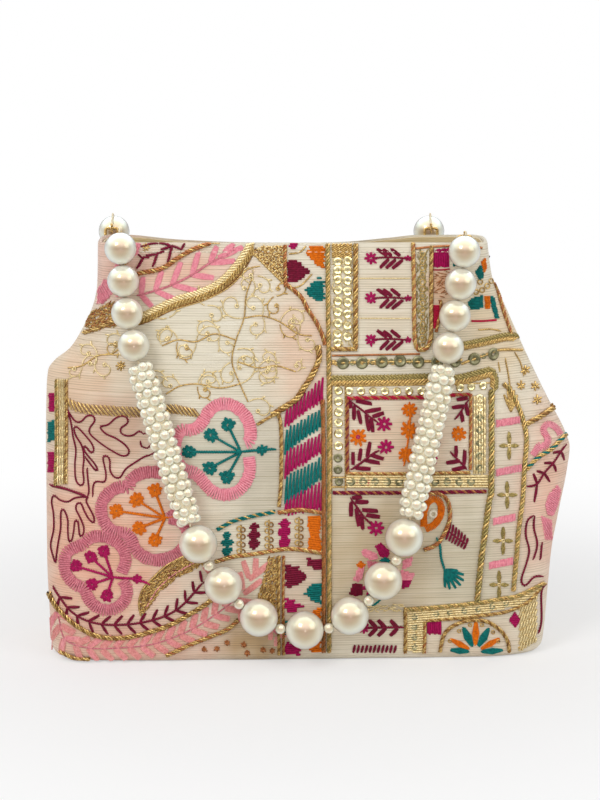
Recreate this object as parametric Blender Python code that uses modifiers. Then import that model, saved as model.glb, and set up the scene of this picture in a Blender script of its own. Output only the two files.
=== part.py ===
"""Potli bag: an embroidered cloth pouch with two handles of strung pearls.

Metres, +Z up, +X to the right, the front of the bag facing -Y. The origin is the middle
of the underside, on the surface that the bag stands on. The bag is one folded length of
stiffened cloth, sewn at the side seams and boxed at its lower corners, with a lining, a
base board and a snap inside. Each handle is a string of pearls that swings about two
thread bars sewn on the rim.
"""

import math

import bmesh
import bpy
from mathutils import Vector

MM = 0.001

# Bag, overall
HEIGHT = 210.0 * MM
HALF_WIDTH = 134.3 * MM
HALF_DEPTH = 38.0 * MM
BASE_ROUND = 5.0 * MM
SIDE_TAPER = 5.0 * MM

# Cloth, lining and board
CLOTH = 2.0 * MM
LINING = 0.8 * MM
BOARD = 2.0 * MM
FIT = 0.3 * MM
LINING_CORNER_EASE = 0.5 * CLOTH
LINING_RIM_DROP = 1.0 * MM
LINING_INSET = CLOTH + FIT
BOARD_EASE = 2.5 * MM

# Mouth
FRONT_RIM_DEPTH = 12.0 * MM
BACK_RIM_DEPTH = 18.5 * MM
BACK_RIM_DENT = 13.0 * MM
BACK_RIM_SAG = 2.5 * MM

# Thread bars and the eyes that turn on them
BAR_RADIUS = 0.8 * MM
BAR_HALF_SPAN = 3.2 * MM
BAR_BEND = 1.2 * MM
EYE_RADIUS = 2.0 * MM
EYE_WIRE = 0.6 * MM
EYE_CLEARANCE = 0.6 * MM
EYE_TO_PEARL = 0.3 * MM

# Strung pearls
TOP_PEARL = 15.9 * MM
BOTTOM_PEARL = 19.1 * MM
SPACER = 5.2 * MM
ROPE_DIAMETER = 15.0 * MM
ROPE_SHOULDER = 2.5 * MM
LONGER_ROPE = 1.04
SHORTER_ROPE = 0.96
BORE_RADIUS = 1.2 * MM
STRING_RADIUS = 0.5 * MM
BEAD_GAP = 0.15 * MM
BEAD_STANDOFF = 0.6 * MM
ROPE_STANDOFF = 1.6 * MM
TOP_PEARLS_A_SIDE = 4
BOTTOM_PEARLS = 7

# Snap
SNAP_DIAMETER = 14.0 * MM
SNAP_THICKNESS = 1.8 * MM
SNAP_BOSS_DIAMETER = 4.6 * MM
SNAP_BOSS_HEIGHT = 1.4 * MM
SNAP_RECESS_DIAMETER = 5.6 * MM
SNAP_RECESS_DEPTH = 1.0 * MM
SNAP_BELOW_RIM = 20.0 * MM

# Mesh fineness
SEAM_TO_SEAM = 22
SEAM_CROWDING = 0.6
PEARL_STEPS = 10
PEARL_ARC = 6
SPACER_STEPS = 8
SPACER_ARC = 4
ROPE_STEPS = 14
SNAP_STEPS = 20
DENSE = 160
REST_SAMPLES = 4
ARCH_STEPS = 2
ROUTE_STEPS = 24

# Outline of the bag seen from the front, as (share of the height, share of the half width)
LEFT_EDGE = ((0.0, 0.979), (0.081, 0.986), (0.229, 0.997), (0.465, 1.0), (0.639, 0.992),
             (0.683, 0.984), (0.705, 0.96), (0.735, 0.901), (0.773, 0.861), (0.851, 0.805),
             (0.891, 0.793), (1.0, 0.785))
RIGHT_EDGE = ((0.0, 0.896), (0.048, 0.907), (0.147, 0.92), (0.243, 0.934), (0.343, 0.963),
              (0.436, 0.991), (0.49, 1.0), (0.525, 0.983), (0.616, 0.909), (0.733, 0.819),
              (0.851, 0.735), (0.911, 0.692), (1.0, 0.67))

# Half depth of the front, as (share of the height, share of the way from the rim's to the base's)
FRONT_SWELL = ((0.0, 1.0), (0.12, 0.99), (0.3, 0.9), (0.45, 0.76), (0.6, 0.57), (0.75, 0.37),
               (0.9, 0.14), (1.0, 0.0))

# How square a level's section is along X and across Y, by share of the height
SQUARE_X = ((0.0, 6.5), (0.3, 5.0), (0.5, 3.8), (0.65, 3.4), (0.85, 6.0), (0.94, 18.0), (1.0, 40.0))
SQUARE_Y = ((0.0, 5.5), (0.25, 3.4), (0.5, 1.7), (0.65, 1.35), (0.85, 1.6), (1.0, 3.5))

# Dent of the back rim, as (share from the left end to the right end, share of BACK_RIM_DENT)
RIM_DENT = ((0.0, 0.0), (0.06, 0.02), (0.2, 0.6), (0.38, 0.93), (0.5, 1.0), (0.62, 0.9),
            (0.75, 0.4), (0.83, 0.04), (1.0, 0.0))
RIM_DENT_FROM = 0.62

# Levels of the wall above its rounded lower edge, as shares of the height
WALL_LEVELS = (0.07, 0.15, 0.25, 0.35, 0.43, 0.495, 0.56, 0.63, 0.69, 0.74, 0.8, 0.86, 0.93, 1.0)
ROUND_STEPS = 3

# Route of each handle down the panel, chosen by hand: (share of the half width, share of the height)
FRONT_ROUTE = ((-0.684, 0.920), (-0.670, 0.847), (-0.651, 0.777), (-0.538, 0.552), (-0.411, 0.309),
               (-0.316, 0.205), (-0.187, 0.121), (-0.019, 0.088), (0.150, 0.117), (0.268, 0.200),
               (0.350, 0.297), (0.440, 0.537), (0.518, 0.758), (0.544, 0.835), (0.565, 0.910))
BACK_ROUTE = ((-0.735, 0.920), (-0.720, 0.847), (-0.695, 0.777), (-0.580, 0.545), (-0.455, 0.297),
              (-0.365, 0.190), (-0.245, 0.109), (-0.090, 0.075), (0.065, 0.109), (0.185, 0.190),
              (0.265, 0.297), (0.345, 0.545), (0.420, 0.777), (0.440, 0.847), (0.455, 0.920))

# How the string's end goes from its eye over the first pearl, as (share of the way out, share of the way up)
WRAP = ((0.18, 0.1), (0.66, 0.89), (0.9, 0.95), (0.99, 0.87))
WRAP_CREST = 1.5 * MM

# Each handle's left and right pivot: (share of the half width, how far below it the first pearl hangs)
FRONT_PIVOTS = ((-0.695, 4.8 * MM), (0.582, 6.4 * MM))
BACK_PIVOTS = ((-0.745, 3.0 * MM), (0.468, 3.0 * MM))

# Colours
CREAM = (0.80, 0.72, 0.60)
SATIN = (0.78, 0.66, 0.48)
CARD = (0.36, 0.28, 0.20)
GOLD = (0.72, 0.50, 0.20)
PEARL = (0.90, 0.86, 0.78)
BRASS = (0.66, 0.50, 0.26)


def clear_scene():
    """Remove the objects of the startup scene."""
    for old in list(bpy.data.objects):
        bpy.data.objects.remove(old, do_unlink=True)


def new_collection(name):
    """Make a collection under the scene's own."""
    collection = bpy.data.collections.new(name)
    bpy.context.scene.collection.children.link(collection)
    return collection


def material(name, colour, roughness, metallic=0.0):
    """Make a plain Principled material."""
    made = bpy.data.materials.new(name)
    made.use_nodes = True
    shader = made.node_tree.nodes["Principled BSDF"]
    shader.inputs["Base Color"].default_value = (*colour, 1.0)
    shader.inputs["Roughness"].default_value = roughness
    shader.inputs["Metallic"].default_value = metallic
    return made


def add_object(name, data, collection, finish=None):
    """Link a new object that holds the given mesh or curve, with its own material slot."""
    made = bpy.data.objects.new(name, data)
    collection.objects.link(made)
    if finish:
        if not data.materials:
            data.materials.append(None)
        slot = made.material_slots[0]
        slot.link = "OBJECT"
        slot.material = material(name, *finish)
    return made


def smooth(mesh, angle=35.0):
    """Shade a mesh smooth, with edges sharper than the angle kept sharp."""
    mesh.shade_smooth()
    mesh.set_sharp_from_angle(angle=math.radians(angle))


def curve_through(points, at):
    """Read a smooth curve through (place, value) points with rising places."""
    last = len(points) - 1
    right = min(max(next((i for i, p in enumerate(points) if p[0] >= at), last), 1), last)
    left = right - 1
    span = points[right][0] - points[left][0]
    share = min(max((at - points[left][0]) / span, 0.0), 1.0)
    slopes = []
    for i in (left, right):
        grades = [(points[k + 1][1] - points[k][1]) / (points[k + 1][0] - points[k][0])
                  for k in (i - 1, i) if 0 <= k < last]
        before, after = grades[0], grades[-1]
        flat = before * after <= 0.0
        slopes.append(0.0 if flat else 2.0 * before * after / (before + after))
    square, cube = share ** 2, share ** 3
    return ((2 * cube - 3 * square + 1) * points[left][1] + (cube - 2 * square + share) * span * slopes[0]
            + (3 * square - 2 * cube) * points[right][1] + (cube - square) * span * slopes[1])


def ease(value):
    """Smooth step from 0 to 1."""
    held = min(max(value, 0.0), 1.0)
    return held * held * (3.0 - 2.0 * held)


def edges_at(z):
    """Give the x of the left and right side seams at a height."""
    share = z / HEIGHT
    return -HALF_WIDTH * curve_through(LEFT_EDGE, share), HALF_WIDTH * curve_through(RIGHT_EDGE, share)


def skin_y(x, z, side):
    """Give the y of the outer surface: side -1 is the front panel and +1 the back panel."""
    left, right = edges_at(z)
    share = z / HEIGHT
    along = (x - left) / (right - left)
    across = min(abs(2.0 * along - 1.0), 1.0)
    square_x = curve_through(SQUARE_X, share)
    square_y = curve_through(SQUARE_Y, share)
    fullness = (1.0 - across ** square_x) ** (1.0 / square_y)
    swell = curve_through(FRONT_SWELL, share)
    depth = FRONT_RIM_DEPTH + (HALF_DEPTH - FRONT_RIM_DEPTH - SIDE_TAPER * (2.0 * along - 1.0)) * swell
    if side > 0:
        dent = BACK_RIM_DENT * curve_through(RIM_DENT, along)
        opened = BACK_RIM_DEPTH - FRONT_RIM_DEPTH - dent
        depth += opened * ease((share - RIM_DENT_FROM) / (1.0 - RIM_DENT_FROM))
    return side * depth * fullness


def resting_depth(x, z, radius, side):
    """Give how far from the middle plane a ball's centre is when the ball lies on a panel."""
    deepest = 0.0
    for i in range(-REST_SAMPLES, REST_SAMPLES + 1):
        for k in range(-REST_SAMPLES, REST_SAMPLES + 1):
            aside, up = radius * i / REST_SAMPLES, radius * k / REST_SAMPLES
            reach = radius ** 2 - aside ** 2 - up ** 2
            height = min(max(z + up, 0.0), HEIGHT)
            left, right = edges_at(height)
            if reach >= 0.0 and left < x + aside < right:
                deepest = max(deepest, abs(skin_y(x + aside, height, side)) + math.sqrt(reach))
    return deepest


def panel_points(z, side, count):
    """Space points along one panel's section, from seam to seam and closer near the seams."""
    left, right = edges_at(z)
    middle, half = 0.5 * (left + right), 0.5 * (right - left)
    dense = []
    for i in range(DENSE + 1):
        x = middle - half * math.cos(math.pi * i / DENSE)
        dense.append(Vector((x, skin_y(x, z, side), z)))
    run = [0.0]
    for a, b in zip(dense, dense[1:]):
        run.append(run[-1] + (b - a).length)
    points = []
    piece = 0
    for i in range(count + 1):
        even = i / count
        goal = run[-1] * (even - SEAM_CROWDING * math.sin(2.0 * math.pi * even) / (2.0 * math.pi))
        while piece < DENSE - 1 and run[piece + 1] < goal:
            piece += 1
        share = (goal - run[piece]) / (run[piece + 1] - run[piece])
        points.append(dense[piece].lerp(dense[piece + 1], share))
    return points


def section(z, count, inset=0.0, seam_inset=0.0):
    """Give a level's closed outline, moved inward by inset and by more at the seams."""
    front = panel_points(z, -1, count)
    back = panel_points(z, 1, count)
    loop = front + back[-2:0:-1]
    size = len(loop)
    moved = []
    for i, point in enumerate(loop):
        before = (point - loop[i - 1]).normalized()
        after = (loop[(i + 1) % size] - point).normalized()
        normal_a = Vector((-before.y, before.x, 0.0))
        normal_b = Vector((-after.y, after.x, 0.0))
        mitre = normal_a + normal_b
        mitre *= 2.0 / max(mitre.length_squared, 0.5)
        end = abs(2.0 * (i % count) / count - 1.0) ** 6
        moved.append(point + mitre * inset + Vector((math.copysign(seam_inset * end, -point.x), 0.0, 0.0)))
    return moved


def loft(rows):
    """Skin a stack of equal loops into an open-topped bowl with a flat base."""
    build = bmesh.new()
    rings = [[build.verts.new(point) for point in row] for row in rows]
    size = len(rows[0])
    for low, high in zip(rings, rings[1:]):
        for i in range(size):
            j = (i + 1) % size
            build.faces.new((low[i], low[j], high[j], high[i]))
    build.faces.new(rings[0][::-1])
    bmesh.ops.recalc_face_normals(build, faces=build.faces)
    mesh = bpy.data.meshes.new("loft")
    build.to_mesh(mesh)
    build.free()
    return mesh


def thicken(made, thickness):
    """Give an open surface its thickness, inward from the outer face."""
    solid = made.modifiers.new("thickness", "SOLIDIFY")
    solid.thickness = thickness
    solid.offset = -1.0
    solid.use_even_offset = True
    solid.use_quality_normals = True


def rounded_foot(lift, radius, inset):
    """List (height, inset) down a rounded lower edge, from the flat base up to the wall."""
    steps = []
    for i in range(ROUND_STEPS + 1):
        turn = 0.5 * math.pi * i / ROUND_STEPS
        steps.append((lift + radius * (1.0 - math.cos(turn)), inset + radius * (1.0 - math.sin(turn))))
    return steps


def sag_back_rim(row):
    """Lower the back half of a rim row where the back panel is dented inward."""
    left, right = edges_at(HEIGHT)
    for point in row:
        if point.y > 0.0:
            along = (point.x - left) / (right - left)
            point.z -= BACK_RIM_SAG * curve_through(RIM_DENT, along)


def bag_rows(lift, foot_radius, inset, seam_inset, top):
    """List a bag's levels, from its rounded lower edge up to its rim."""
    levels = rounded_foot(lift, foot_radius, inset)
    levels += [(HEIGHT * share, inset) for share in WALL_LEVELS[:-1]]
    levels.append((top, inset))
    rows = [section(z, SEAM_TO_SEAM, inward, seam_inset) for z, inward in levels]
    sag_back_rim(rows[-1])
    return rows


def make_outer_shell(collection):
    """Make the folded and sewn outer cloth."""
    rows = bag_rows(0.0, BASE_ROUND, 0.0, 0.0, HEIGHT)
    shell = add_object("outer_shell", loft(rows), collection, (CREAM, 0.8))
    thicken(shell, CLOTH)
    smooth(shell.data)


def make_lining(collection):
    """Make the inner bag, which stands a little clear of the cloth's sharp side seams."""
    lift = CLOTH + FIT + BOARD + FIT
    rows = bag_rows(lift, BASE_ROUND - CLOTH, LINING_INSET, LINING_CORNER_EASE, HEIGHT - LINING_RIM_DROP)
    lining = add_object("lining", loft(rows), collection, (SATIN, 0.45))
    thicken(lining, LINING)
    smooth(lining.data)


def make_base_board(collection):
    """Make the stiffener that lies on the cloth under the lining."""
    low = CLOTH + FIT
    outline = section(low, SEAM_TO_SEAM, BASE_ROUND + BOARD_EASE)
    build = bmesh.new()
    face = build.faces.new([build.verts.new((point.x, point.y, low)) for point in outline])
    raised = bmesh.ops.extrude_face_region(build, geom=[face])
    moved = [item for item in raised["geom"] if isinstance(item, bmesh.types.BMVert)]
    bmesh.ops.translate(build, verts=moved, vec=(0.0, 0.0, BOARD))
    bmesh.ops.recalc_face_normals(build, faces=build.faces)
    mesh = bpy.data.meshes.new("base_board")
    build.to_mesh(mesh)
    build.free()
    add_object("base_board", mesh, collection, (CARD, 0.9))


def profile_mesh(name, profile):
    """Make a closed outline of (radius, height) points, as edges for a Screw modifier."""
    mesh = bpy.data.meshes.new(name)
    size = len(profile)
    mesh.from_pydata([(r, 0.0, z) for r, z in profile], [(i, (i + 1) % size) for i in range(size)], [])
    return mesh


def turned(name, mesh, steps, collection, finish):
    """Turn a profile about Z."""
    made = add_object(name, mesh, collection, finish)
    spin = made.modifiers.new("turn", "SCREW")
    spin.steps = steps
    spin.render_steps = steps
    spin.use_merge_vertices = True
    spin.merge_threshold = 0.01 * MM
    spin.use_smooth_shade = True
    return made


def pearl_profile(diameter, arcs):
    """Give the section of a drilled pearl, down its outer side and up its bore."""
    radius = 0.5 * diameter
    start = math.asin(BORE_RADIUS / radius)
    points = []
    for i in range(arcs + 1):
        turn = start + (math.pi - 2.0 * start) * i / arcs
        points.append((radius * math.sin(turn), radius * math.cos(turn)))
    return points


def rope_profile(length):
    """Give the section of a woven rope of small pearls, with a bore for the string."""
    radius, half = 0.5 * ROPE_DIAMETER, 0.5 * length
    return [(BORE_RADIUS, half), (radius - ROPE_SHOULDER, half), (radius, half - ROPE_SHOULDER),
            (radius, -half + ROPE_SHOULDER), (radius - ROPE_SHOULDER, -half), (BORE_RADIUS, -half)]


def route_curve(points):
    """Give dense points of a smooth curve through the route's hand-chosen points."""
    dense = []
    for i in range(len(points) - 1):
        a = points[max(i - 1, 0)]
        b, c = points[i], points[i + 1]
        d = points[min(i + 2, len(points) - 1)]
        for k in range(ROUTE_STEPS):
            t = k / ROUTE_STEPS
            dense.append(0.5 * (2 * b + (c - a) * t + (2 * a - 5 * b + 4 * c - d) * t ** 2
                                + (3 * b - a - 3 * c + d) * t ** 3))
    dense.append(points[-1].copy())
    return dense


class Strand:
    """One handle: the order of its beads, and where its string bends between them."""

    def __init__(self, side, route, pivots):
        self.side = side
        self.name = "front" if side < 0 else "back"
        rim_y = [skin_y(x * HALF_WIDTH, HEIGHT, side) for x, _ in pivots]
        self.pivot_y = sum(rim_y) / len(rim_y) - side * 0.5 * CLOTH
        self.pivot_z = HEIGHT + EYE_RADIUS + EYE_WIRE + EYE_CLEARANCE
        self.pivot_x = [x * HALF_WIDTH for x, _ in pivots]
        self.drops = [drop for _, drop in pivots]
        self.flat_route = [Vector((x * HALF_WIDTH, z * HEIGHT)) for x, z in route]
        self.beads = self.order()
        self.rope_length = self.fill_length()
        self.joints = self.place(self.rope_length)

    def order(self):
        """List (node name, kind, diameter, share of the rope length) from the left end to the right."""
        top = range(1, TOP_PEARLS_A_SIDE + 1)
        beads = [(f"{self.name}_left_pearl_{i}", "top", TOP_PEARL, 0.0) for i in top]
        beads.append((f"{self.name}_left_pearl_rope", "rope", ROPE_DIAMETER, LONGER_ROPE))
        for i in range(1, BOTTOM_PEARLS + 1):
            if i > 1:
                beads.append((f"{self.name}_spacer_{i - 1}", "spacer", SPACER, 0.0))
            beads.append((f"{self.name}_bottom_pearl_{i}", "bottom", BOTTOM_PEARL, 0.0))
        beads.append((f"{self.name}_right_pearl_rope", "rope", ROPE_DIAMETER, SHORTER_ROPE))
        beads += [(f"{self.name}_right_pearl_{i}", "top", TOP_PEARL, 0.0) for i in reversed(top)]
        return beads

    def length_of(self, bead, rope_length):
        """Give a bead's own length along the string."""
        _, kind, diameter, share = bead
        return rope_length * share if kind == "rope" else diameter

    def flat_path(self):
        """Give the whole guide curve in the panel's plane, from the top of each end pearl."""
        top = self.pivot_z + 0.5 * (TOP_PEARL + BEAD_GAP)
        ends = [Vector((x, top - drop)) for x, drop in zip(self.pivot_x, self.drops)]
        return route_curve([ends[0], *self.flat_route, ends[1]])

    def walk(self, rope_length):
        """Step along the guide curve bead by bead, and give the joints and what is left over."""
        path = self.flat_path()
        joints = [path[0]]
        piece = 0
        for bead in self.beads:
            reach = self.length_of(bead, rope_length) + BEAD_GAP
            while piece < len(path) - 1 and (path[piece + 1] - joints[-1]).length < reach:
                piece += 1
            if piece >= len(path) - 1:
                return joints, -1.0
            low, high = 0.0, 1.0
            for _ in range(30):
                share = 0.5 * (low + high)
                if (path[piece].lerp(path[piece + 1], share) - joints[-1]).length < reach:
                    low = share
                else:
                    high = share
            joints.append(path[piece].lerp(path[piece + 1], high))
        rest = sum((b - a).length for a, b in zip(path[piece + 1:], path[piece + 2:]))
        return joints, rest

    def fill_length(self):
        """Find the rope length that takes up what the pearls leave of the route."""
        short, long = ROPE_DIAMETER, HEIGHT
        for _ in range(40):
            middle = 0.5 * (short + long)
            if self.walk(middle)[1] >= 0.0:
                short = middle
            else:
                long = middle
        return short

    def place(self, rope_length):
        """Lift the flat joints off the panel, by the beads that meet there."""
        flat, _ = self.walk(rope_length)
        joints = []
        for i, point in enumerate(flat):
            meeting = self.beads[max(i - 1, 0):i + 1]
            radius = max(0.5 * bead[2] for bead in meeting)
            roped = any(bead[1] == "rope" for bead in meeting)
            depth = resting_depth(point.x, point.y, radius, self.side)
            depth += ROPE_STANDOFF if roped else BEAD_STANDOFF
            if i < 2 or i > len(flat) - 3:
                depth = max(depth, self.clear_of_eye(point.x))
            joints.append(Vector((point.x, self.side * depth, point.y)))
        return joints

    def clear_of_eye(self, x):
        """Give how far from the middle plane an end pearl clears the eye that it hangs by."""
        drop = self.drops[0] if x < 0.0 else self.drops[1]
        reach = 0.5 * TOP_PEARL + EYE_RADIUS + EYE_WIRE + EYE_TO_PEARL
        return abs(self.pivot_y) + math.sqrt(reach ** 2 - drop ** 2)

    def end_wrap(self, joint):
        """Give the string's points from its eye over the end pearl to that pearl's bore."""
        reach = joint.y - self.pivot_y
        crest = joint.z + WRAP_CREST - self.pivot_z
        return [Vector((joint.x, self.pivot_y + forward * reach, self.pivot_z + up * crest))
                for forward, up in WRAP]

    def string_points(self):
        """Give the string's whole path, from eye to eye."""
        start = self.end_wrap(self.joints[0])
        end = self.end_wrap(self.joints[-1])
        return start + self.joints + end[::-1]


def tube_mesh(name, points, radius, resolution):
    """Make a round tube along a path, as a welded mesh."""
    curve = bpy.data.curves.new(name, "CURVE")
    curve.dimensions = "3D"
    curve.bevel_depth = radius
    curve.bevel_resolution = resolution
    curve.use_fill_caps = True
    spline = curve.splines.new("POLY")
    spline.points.add(len(points) - 1)
    for target, point in zip(spline.points, points):
        target.co = (*point, 1.0)
    guide = bpy.data.objects.new(name, curve)
    bpy.context.scene.collection.objects.link(guide)
    bpy.context.view_layer.update()
    graph = bpy.context.evaluated_depsgraph_get()
    mesh = bpy.data.meshes.new_from_object(guide.evaluated_get(graph))
    bpy.data.objects.remove(guide, do_unlink=True)
    build = bmesh.new()
    build.from_mesh(mesh)
    bmesh.ops.remove_doubles(build, verts=build.verts, dist=1e-6)
    bmesh.ops.recalc_face_normals(build, faces=build.faces)
    build.to_mesh(mesh)
    build.free()
    return mesh


def arch(half, foot, top, bend):
    """Give an arch's (across, height) points: two legs, a crossbar and rounded corners."""
    corner = [(half - bend * (1.0 - math.cos(turn)), top - bend * (1.0 - math.sin(turn)))
              for turn in (0.5 * math.pi * i / ARCH_STEPS for i in range(ARCH_STEPS + 1))]
    right = [(half, foot), *corner]
    return [(-across, height) for across, height in right] + right[::-1]


def make_thread_bar(name, strand, x, collection):
    """Make one thread bar: a staple of thread that stands on the rim."""
    path = [(x + across, strand.pivot_y, height)
            for across, height in arch(BAR_HALF_SPAN, HEIGHT + FIT, strand.pivot_z, BAR_BEND)]
    mesh = tube_mesh(name, path, BAR_RADIUS, 2)
    smooth(mesh, 50.0)
    add_object(name, mesh, collection, (GOLD, 0.4, 0.6))


def make_eye(name, centre, collection):
    """Make the ring of thread at one end of a string, as a piece to be joined to it."""
    bpy.ops.mesh.primitive_torus_add(major_radius=EYE_RADIUS, minor_radius=EYE_WIRE, major_segments=16,
                                     minor_segments=8, location=centre, rotation=(0.0, 0.5 * math.pi, 0.0))
    eye = bpy.context.active_object
    eye.name = name
    for home in list(eye.users_collection):
        home.objects.unlink(eye)
    collection.objects.link(eye)
    eye.hide_render = True
    eye.display_type = "WIRE"
    return eye


def make_string(strand, pivot, collection, cutters):
    """Make a handle's string, with an eye joined on at each end."""
    name = f"{strand.name}_string"
    mesh = tube_mesh(name, strand.string_points(), STRING_RADIUS, 2)
    string = add_object(name, mesh, collection, (GOLD, 0.5, 0.3))
    for end, joint in (("left", strand.joints[0]), ("right", strand.joints[-1])):
        centre = (joint.x, strand.pivot_y, strand.pivot_z)
        eye = make_eye(f"{name}_{end}_eye", centre, cutters)
        union = string.modifiers.new(f"{end}_eye", "BOOLEAN")
        union.operation = "UNION"
        union.solver = "EXACT"
        union.object = eye
    hang(string, pivot)


def hang(made, pivot):
    """Parent a piece to its handle's pivot without moving it."""
    made.parent = pivot
    made.matrix_parent_inverse = pivot.matrix_world.inverted()


def make_bead(bead, start, end, strand, pivot, collection, pearls):
    """Make one bead between two joints of the string."""
    name, kind, _, _ = bead
    if kind == "rope":
        mesh = profile_mesh(name, rope_profile(strand.length_of(bead, strand.rope_length)))
        made = turned(name, mesh, ROPE_STEPS, collection, (PEARL, 0.4))
    else:
        steps = SPACER_STEPS if kind == "spacer" else PEARL_STEPS
        made = turned(name, pearls[kind], steps, collection, (PEARL, 0.2))
    made.location = 0.5 * (start + end)
    made.rotation_euler = (end - start).to_track_quat("Z", "Y").to_euler()
    hang(made, pivot)


def pearl_meshes():
    """Make the profile that the pearls of each size share."""
    return {"top": profile_mesh("top_pearl", pearl_profile(TOP_PEARL, PEARL_ARC)),
            "bottom": profile_mesh("bottom_pearl", pearl_profile(BOTTOM_PEARL, PEARL_ARC)),
            "spacer": profile_mesh("spacer", pearl_profile(SPACER, SPACER_ARC))}


def make_handle(strand, collection, cutters, pearls):
    """Make one handle on its pivot: thread bars, string and beads."""
    pivot = bpy.data.objects.new(f"{strand.name}_handle_pivot", None)
    pivot.location = (0.0, strand.pivot_y, strand.pivot_z)
    collection.objects.link(pivot)
    bpy.context.view_layer.update()
    for side, x in zip(("left", "right"), strand.pivot_x):
        make_thread_bar(f"{strand.name}_{side}_thread_bar", strand, x, collection)
    make_string(strand, pivot, collection, cutters)
    for bead, start, end in zip(strand.beads, strand.joints, strand.joints[1:]):
        make_bead(bead, start, end, strand, pivot, collection, pearls)


def make_snap(side, name, profile, collection):
    """Make one half of the snap, on the lining's inner face at the middle of the mouth."""
    z = HEIGHT - SNAP_BELOW_RIM
    radius = 0.5 * SNAP_DIAMETER
    middle = 0.5 * sum(edges_at(z))
    spots = [(middle + radius * a, z + radius * b) for a in (-1, 0, 1) for b in (-1, 0, 1)]
    face = min(abs(skin_y(x, height, side)) for x, height in spots) - LINING_INSET - LINING - FIT
    top = skin_y(middle, z + radius, side)
    low = skin_y(middle, z - radius, side)
    lean = math.atan2(abs(low) - abs(top), SNAP_DIAMETER)
    made = turned(name, profile_mesh(name, profile), SNAP_STEPS, collection, (BRASS, 0.3, 1.0))
    back_off = face - radius * math.sin(abs(lean))
    made.location = (middle, side * max(back_off, 0.0), z)
    made.rotation_euler = (side * (0.5 * math.pi - lean), 0.0, 0.0)


def make_snaps(collection):
    """Make the snap's socket and stud, open and facing each other."""
    radius = 0.5 * SNAP_DIAMETER
    recess = 0.5 * SNAP_RECESS_DIAMETER
    boss = 0.5 * SNAP_BOSS_DIAMETER
    socket = [(0.0, SNAP_THICKNESS - SNAP_RECESS_DEPTH), (recess, SNAP_THICKNESS - SNAP_RECESS_DEPTH),
              (recess, SNAP_THICKNESS), (radius, SNAP_THICKNESS), (radius, 0.0), (0.0, 0.0)]
    stud = [(0.0, SNAP_THICKNESS + SNAP_BOSS_HEIGHT), (boss, SNAP_THICKNESS + SNAP_BOSS_HEIGHT),
            (boss, SNAP_THICKNESS), (radius, SNAP_THICKNESS), (radius, 0.0), (0.0, 0.0)]
    make_snap(-1, "snap_socket", socket, collection)
    make_snap(1, "snap_stud", stud, collection)


def build():
    """Build the whole bag."""
    clear_scene()
    parts = new_collection("potli_bag")
    cutters = new_collection("potli_bag_cutters")
    make_outer_shell(parts)
    make_base_board(parts)
    make_lining(parts)
    make_snaps(parts)
    pearls = pearl_meshes()
    make_handle(Strand(-1, FRONT_ROUTE, FRONT_PIVOTS), parts, cutters, pearls)
    make_handle(Strand(1, BACK_ROUTE, BACK_PIVOTS), parts, cutters, pearls)


build()
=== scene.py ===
"""Scene of the potli bag: embroidered cloth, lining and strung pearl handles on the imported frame.

Metres, +Z up, the front of the bag facing -Y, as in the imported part.
"""

import logging
import math
from dataclasses import dataclass, field
from enum import Enum

import bmesh
import bpy
import numpy as np
from mathutils import Matrix, Vector


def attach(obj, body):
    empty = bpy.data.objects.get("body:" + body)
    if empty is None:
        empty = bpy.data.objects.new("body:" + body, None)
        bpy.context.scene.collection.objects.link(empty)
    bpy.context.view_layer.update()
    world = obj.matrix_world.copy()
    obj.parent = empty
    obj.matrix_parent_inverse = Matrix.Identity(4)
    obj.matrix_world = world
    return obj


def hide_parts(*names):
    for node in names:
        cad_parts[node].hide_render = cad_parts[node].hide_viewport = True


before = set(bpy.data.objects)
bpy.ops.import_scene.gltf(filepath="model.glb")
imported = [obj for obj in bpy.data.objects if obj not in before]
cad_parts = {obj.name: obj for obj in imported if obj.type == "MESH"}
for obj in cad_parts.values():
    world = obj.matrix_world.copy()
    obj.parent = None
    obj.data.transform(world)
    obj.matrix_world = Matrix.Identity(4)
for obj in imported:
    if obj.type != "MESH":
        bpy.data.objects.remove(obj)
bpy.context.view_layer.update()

MM = 0.001
# One unit of the embroidery's design, which is drawn across and down, and the design's place for the bag's middle
# and foot on the back.
UNIT = 0.5 * MM
BACK_MIDDLE, BACK_FOOT = 308.0, 661.6
LOG = logging.getLogger("potli_bag")
Spot = tuple[float, float]
Points = list[Spot]
Strokes = list[tuple[float, float, float, float]]


class Side(Enum):
    """The bag's two panels."""

    FRONT = -1
    BACK = 1


class Body(Enum):
    """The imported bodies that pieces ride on."""

    BAG = "bag"
    FRONT_HANDLE = "front_handle"
    BACK_HANDLE = "back_handle"


def distances(line: np.ndarray) -> np.ndarray:
    """Give how far along a broken line each of its points lies."""
    return np.concatenate(([0.0], np.cumsum(np.linalg.norm(np.diff(line, axis=0), axis=1))))


def read_line(line: np.ndarray, marks: np.ndarray) -> np.ndarray:
    """Give the points that lie at set distances along a broken line."""
    run = distances(line)
    return np.stack([np.interp(marks, run, column) for column in line.T], axis=-1)


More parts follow.
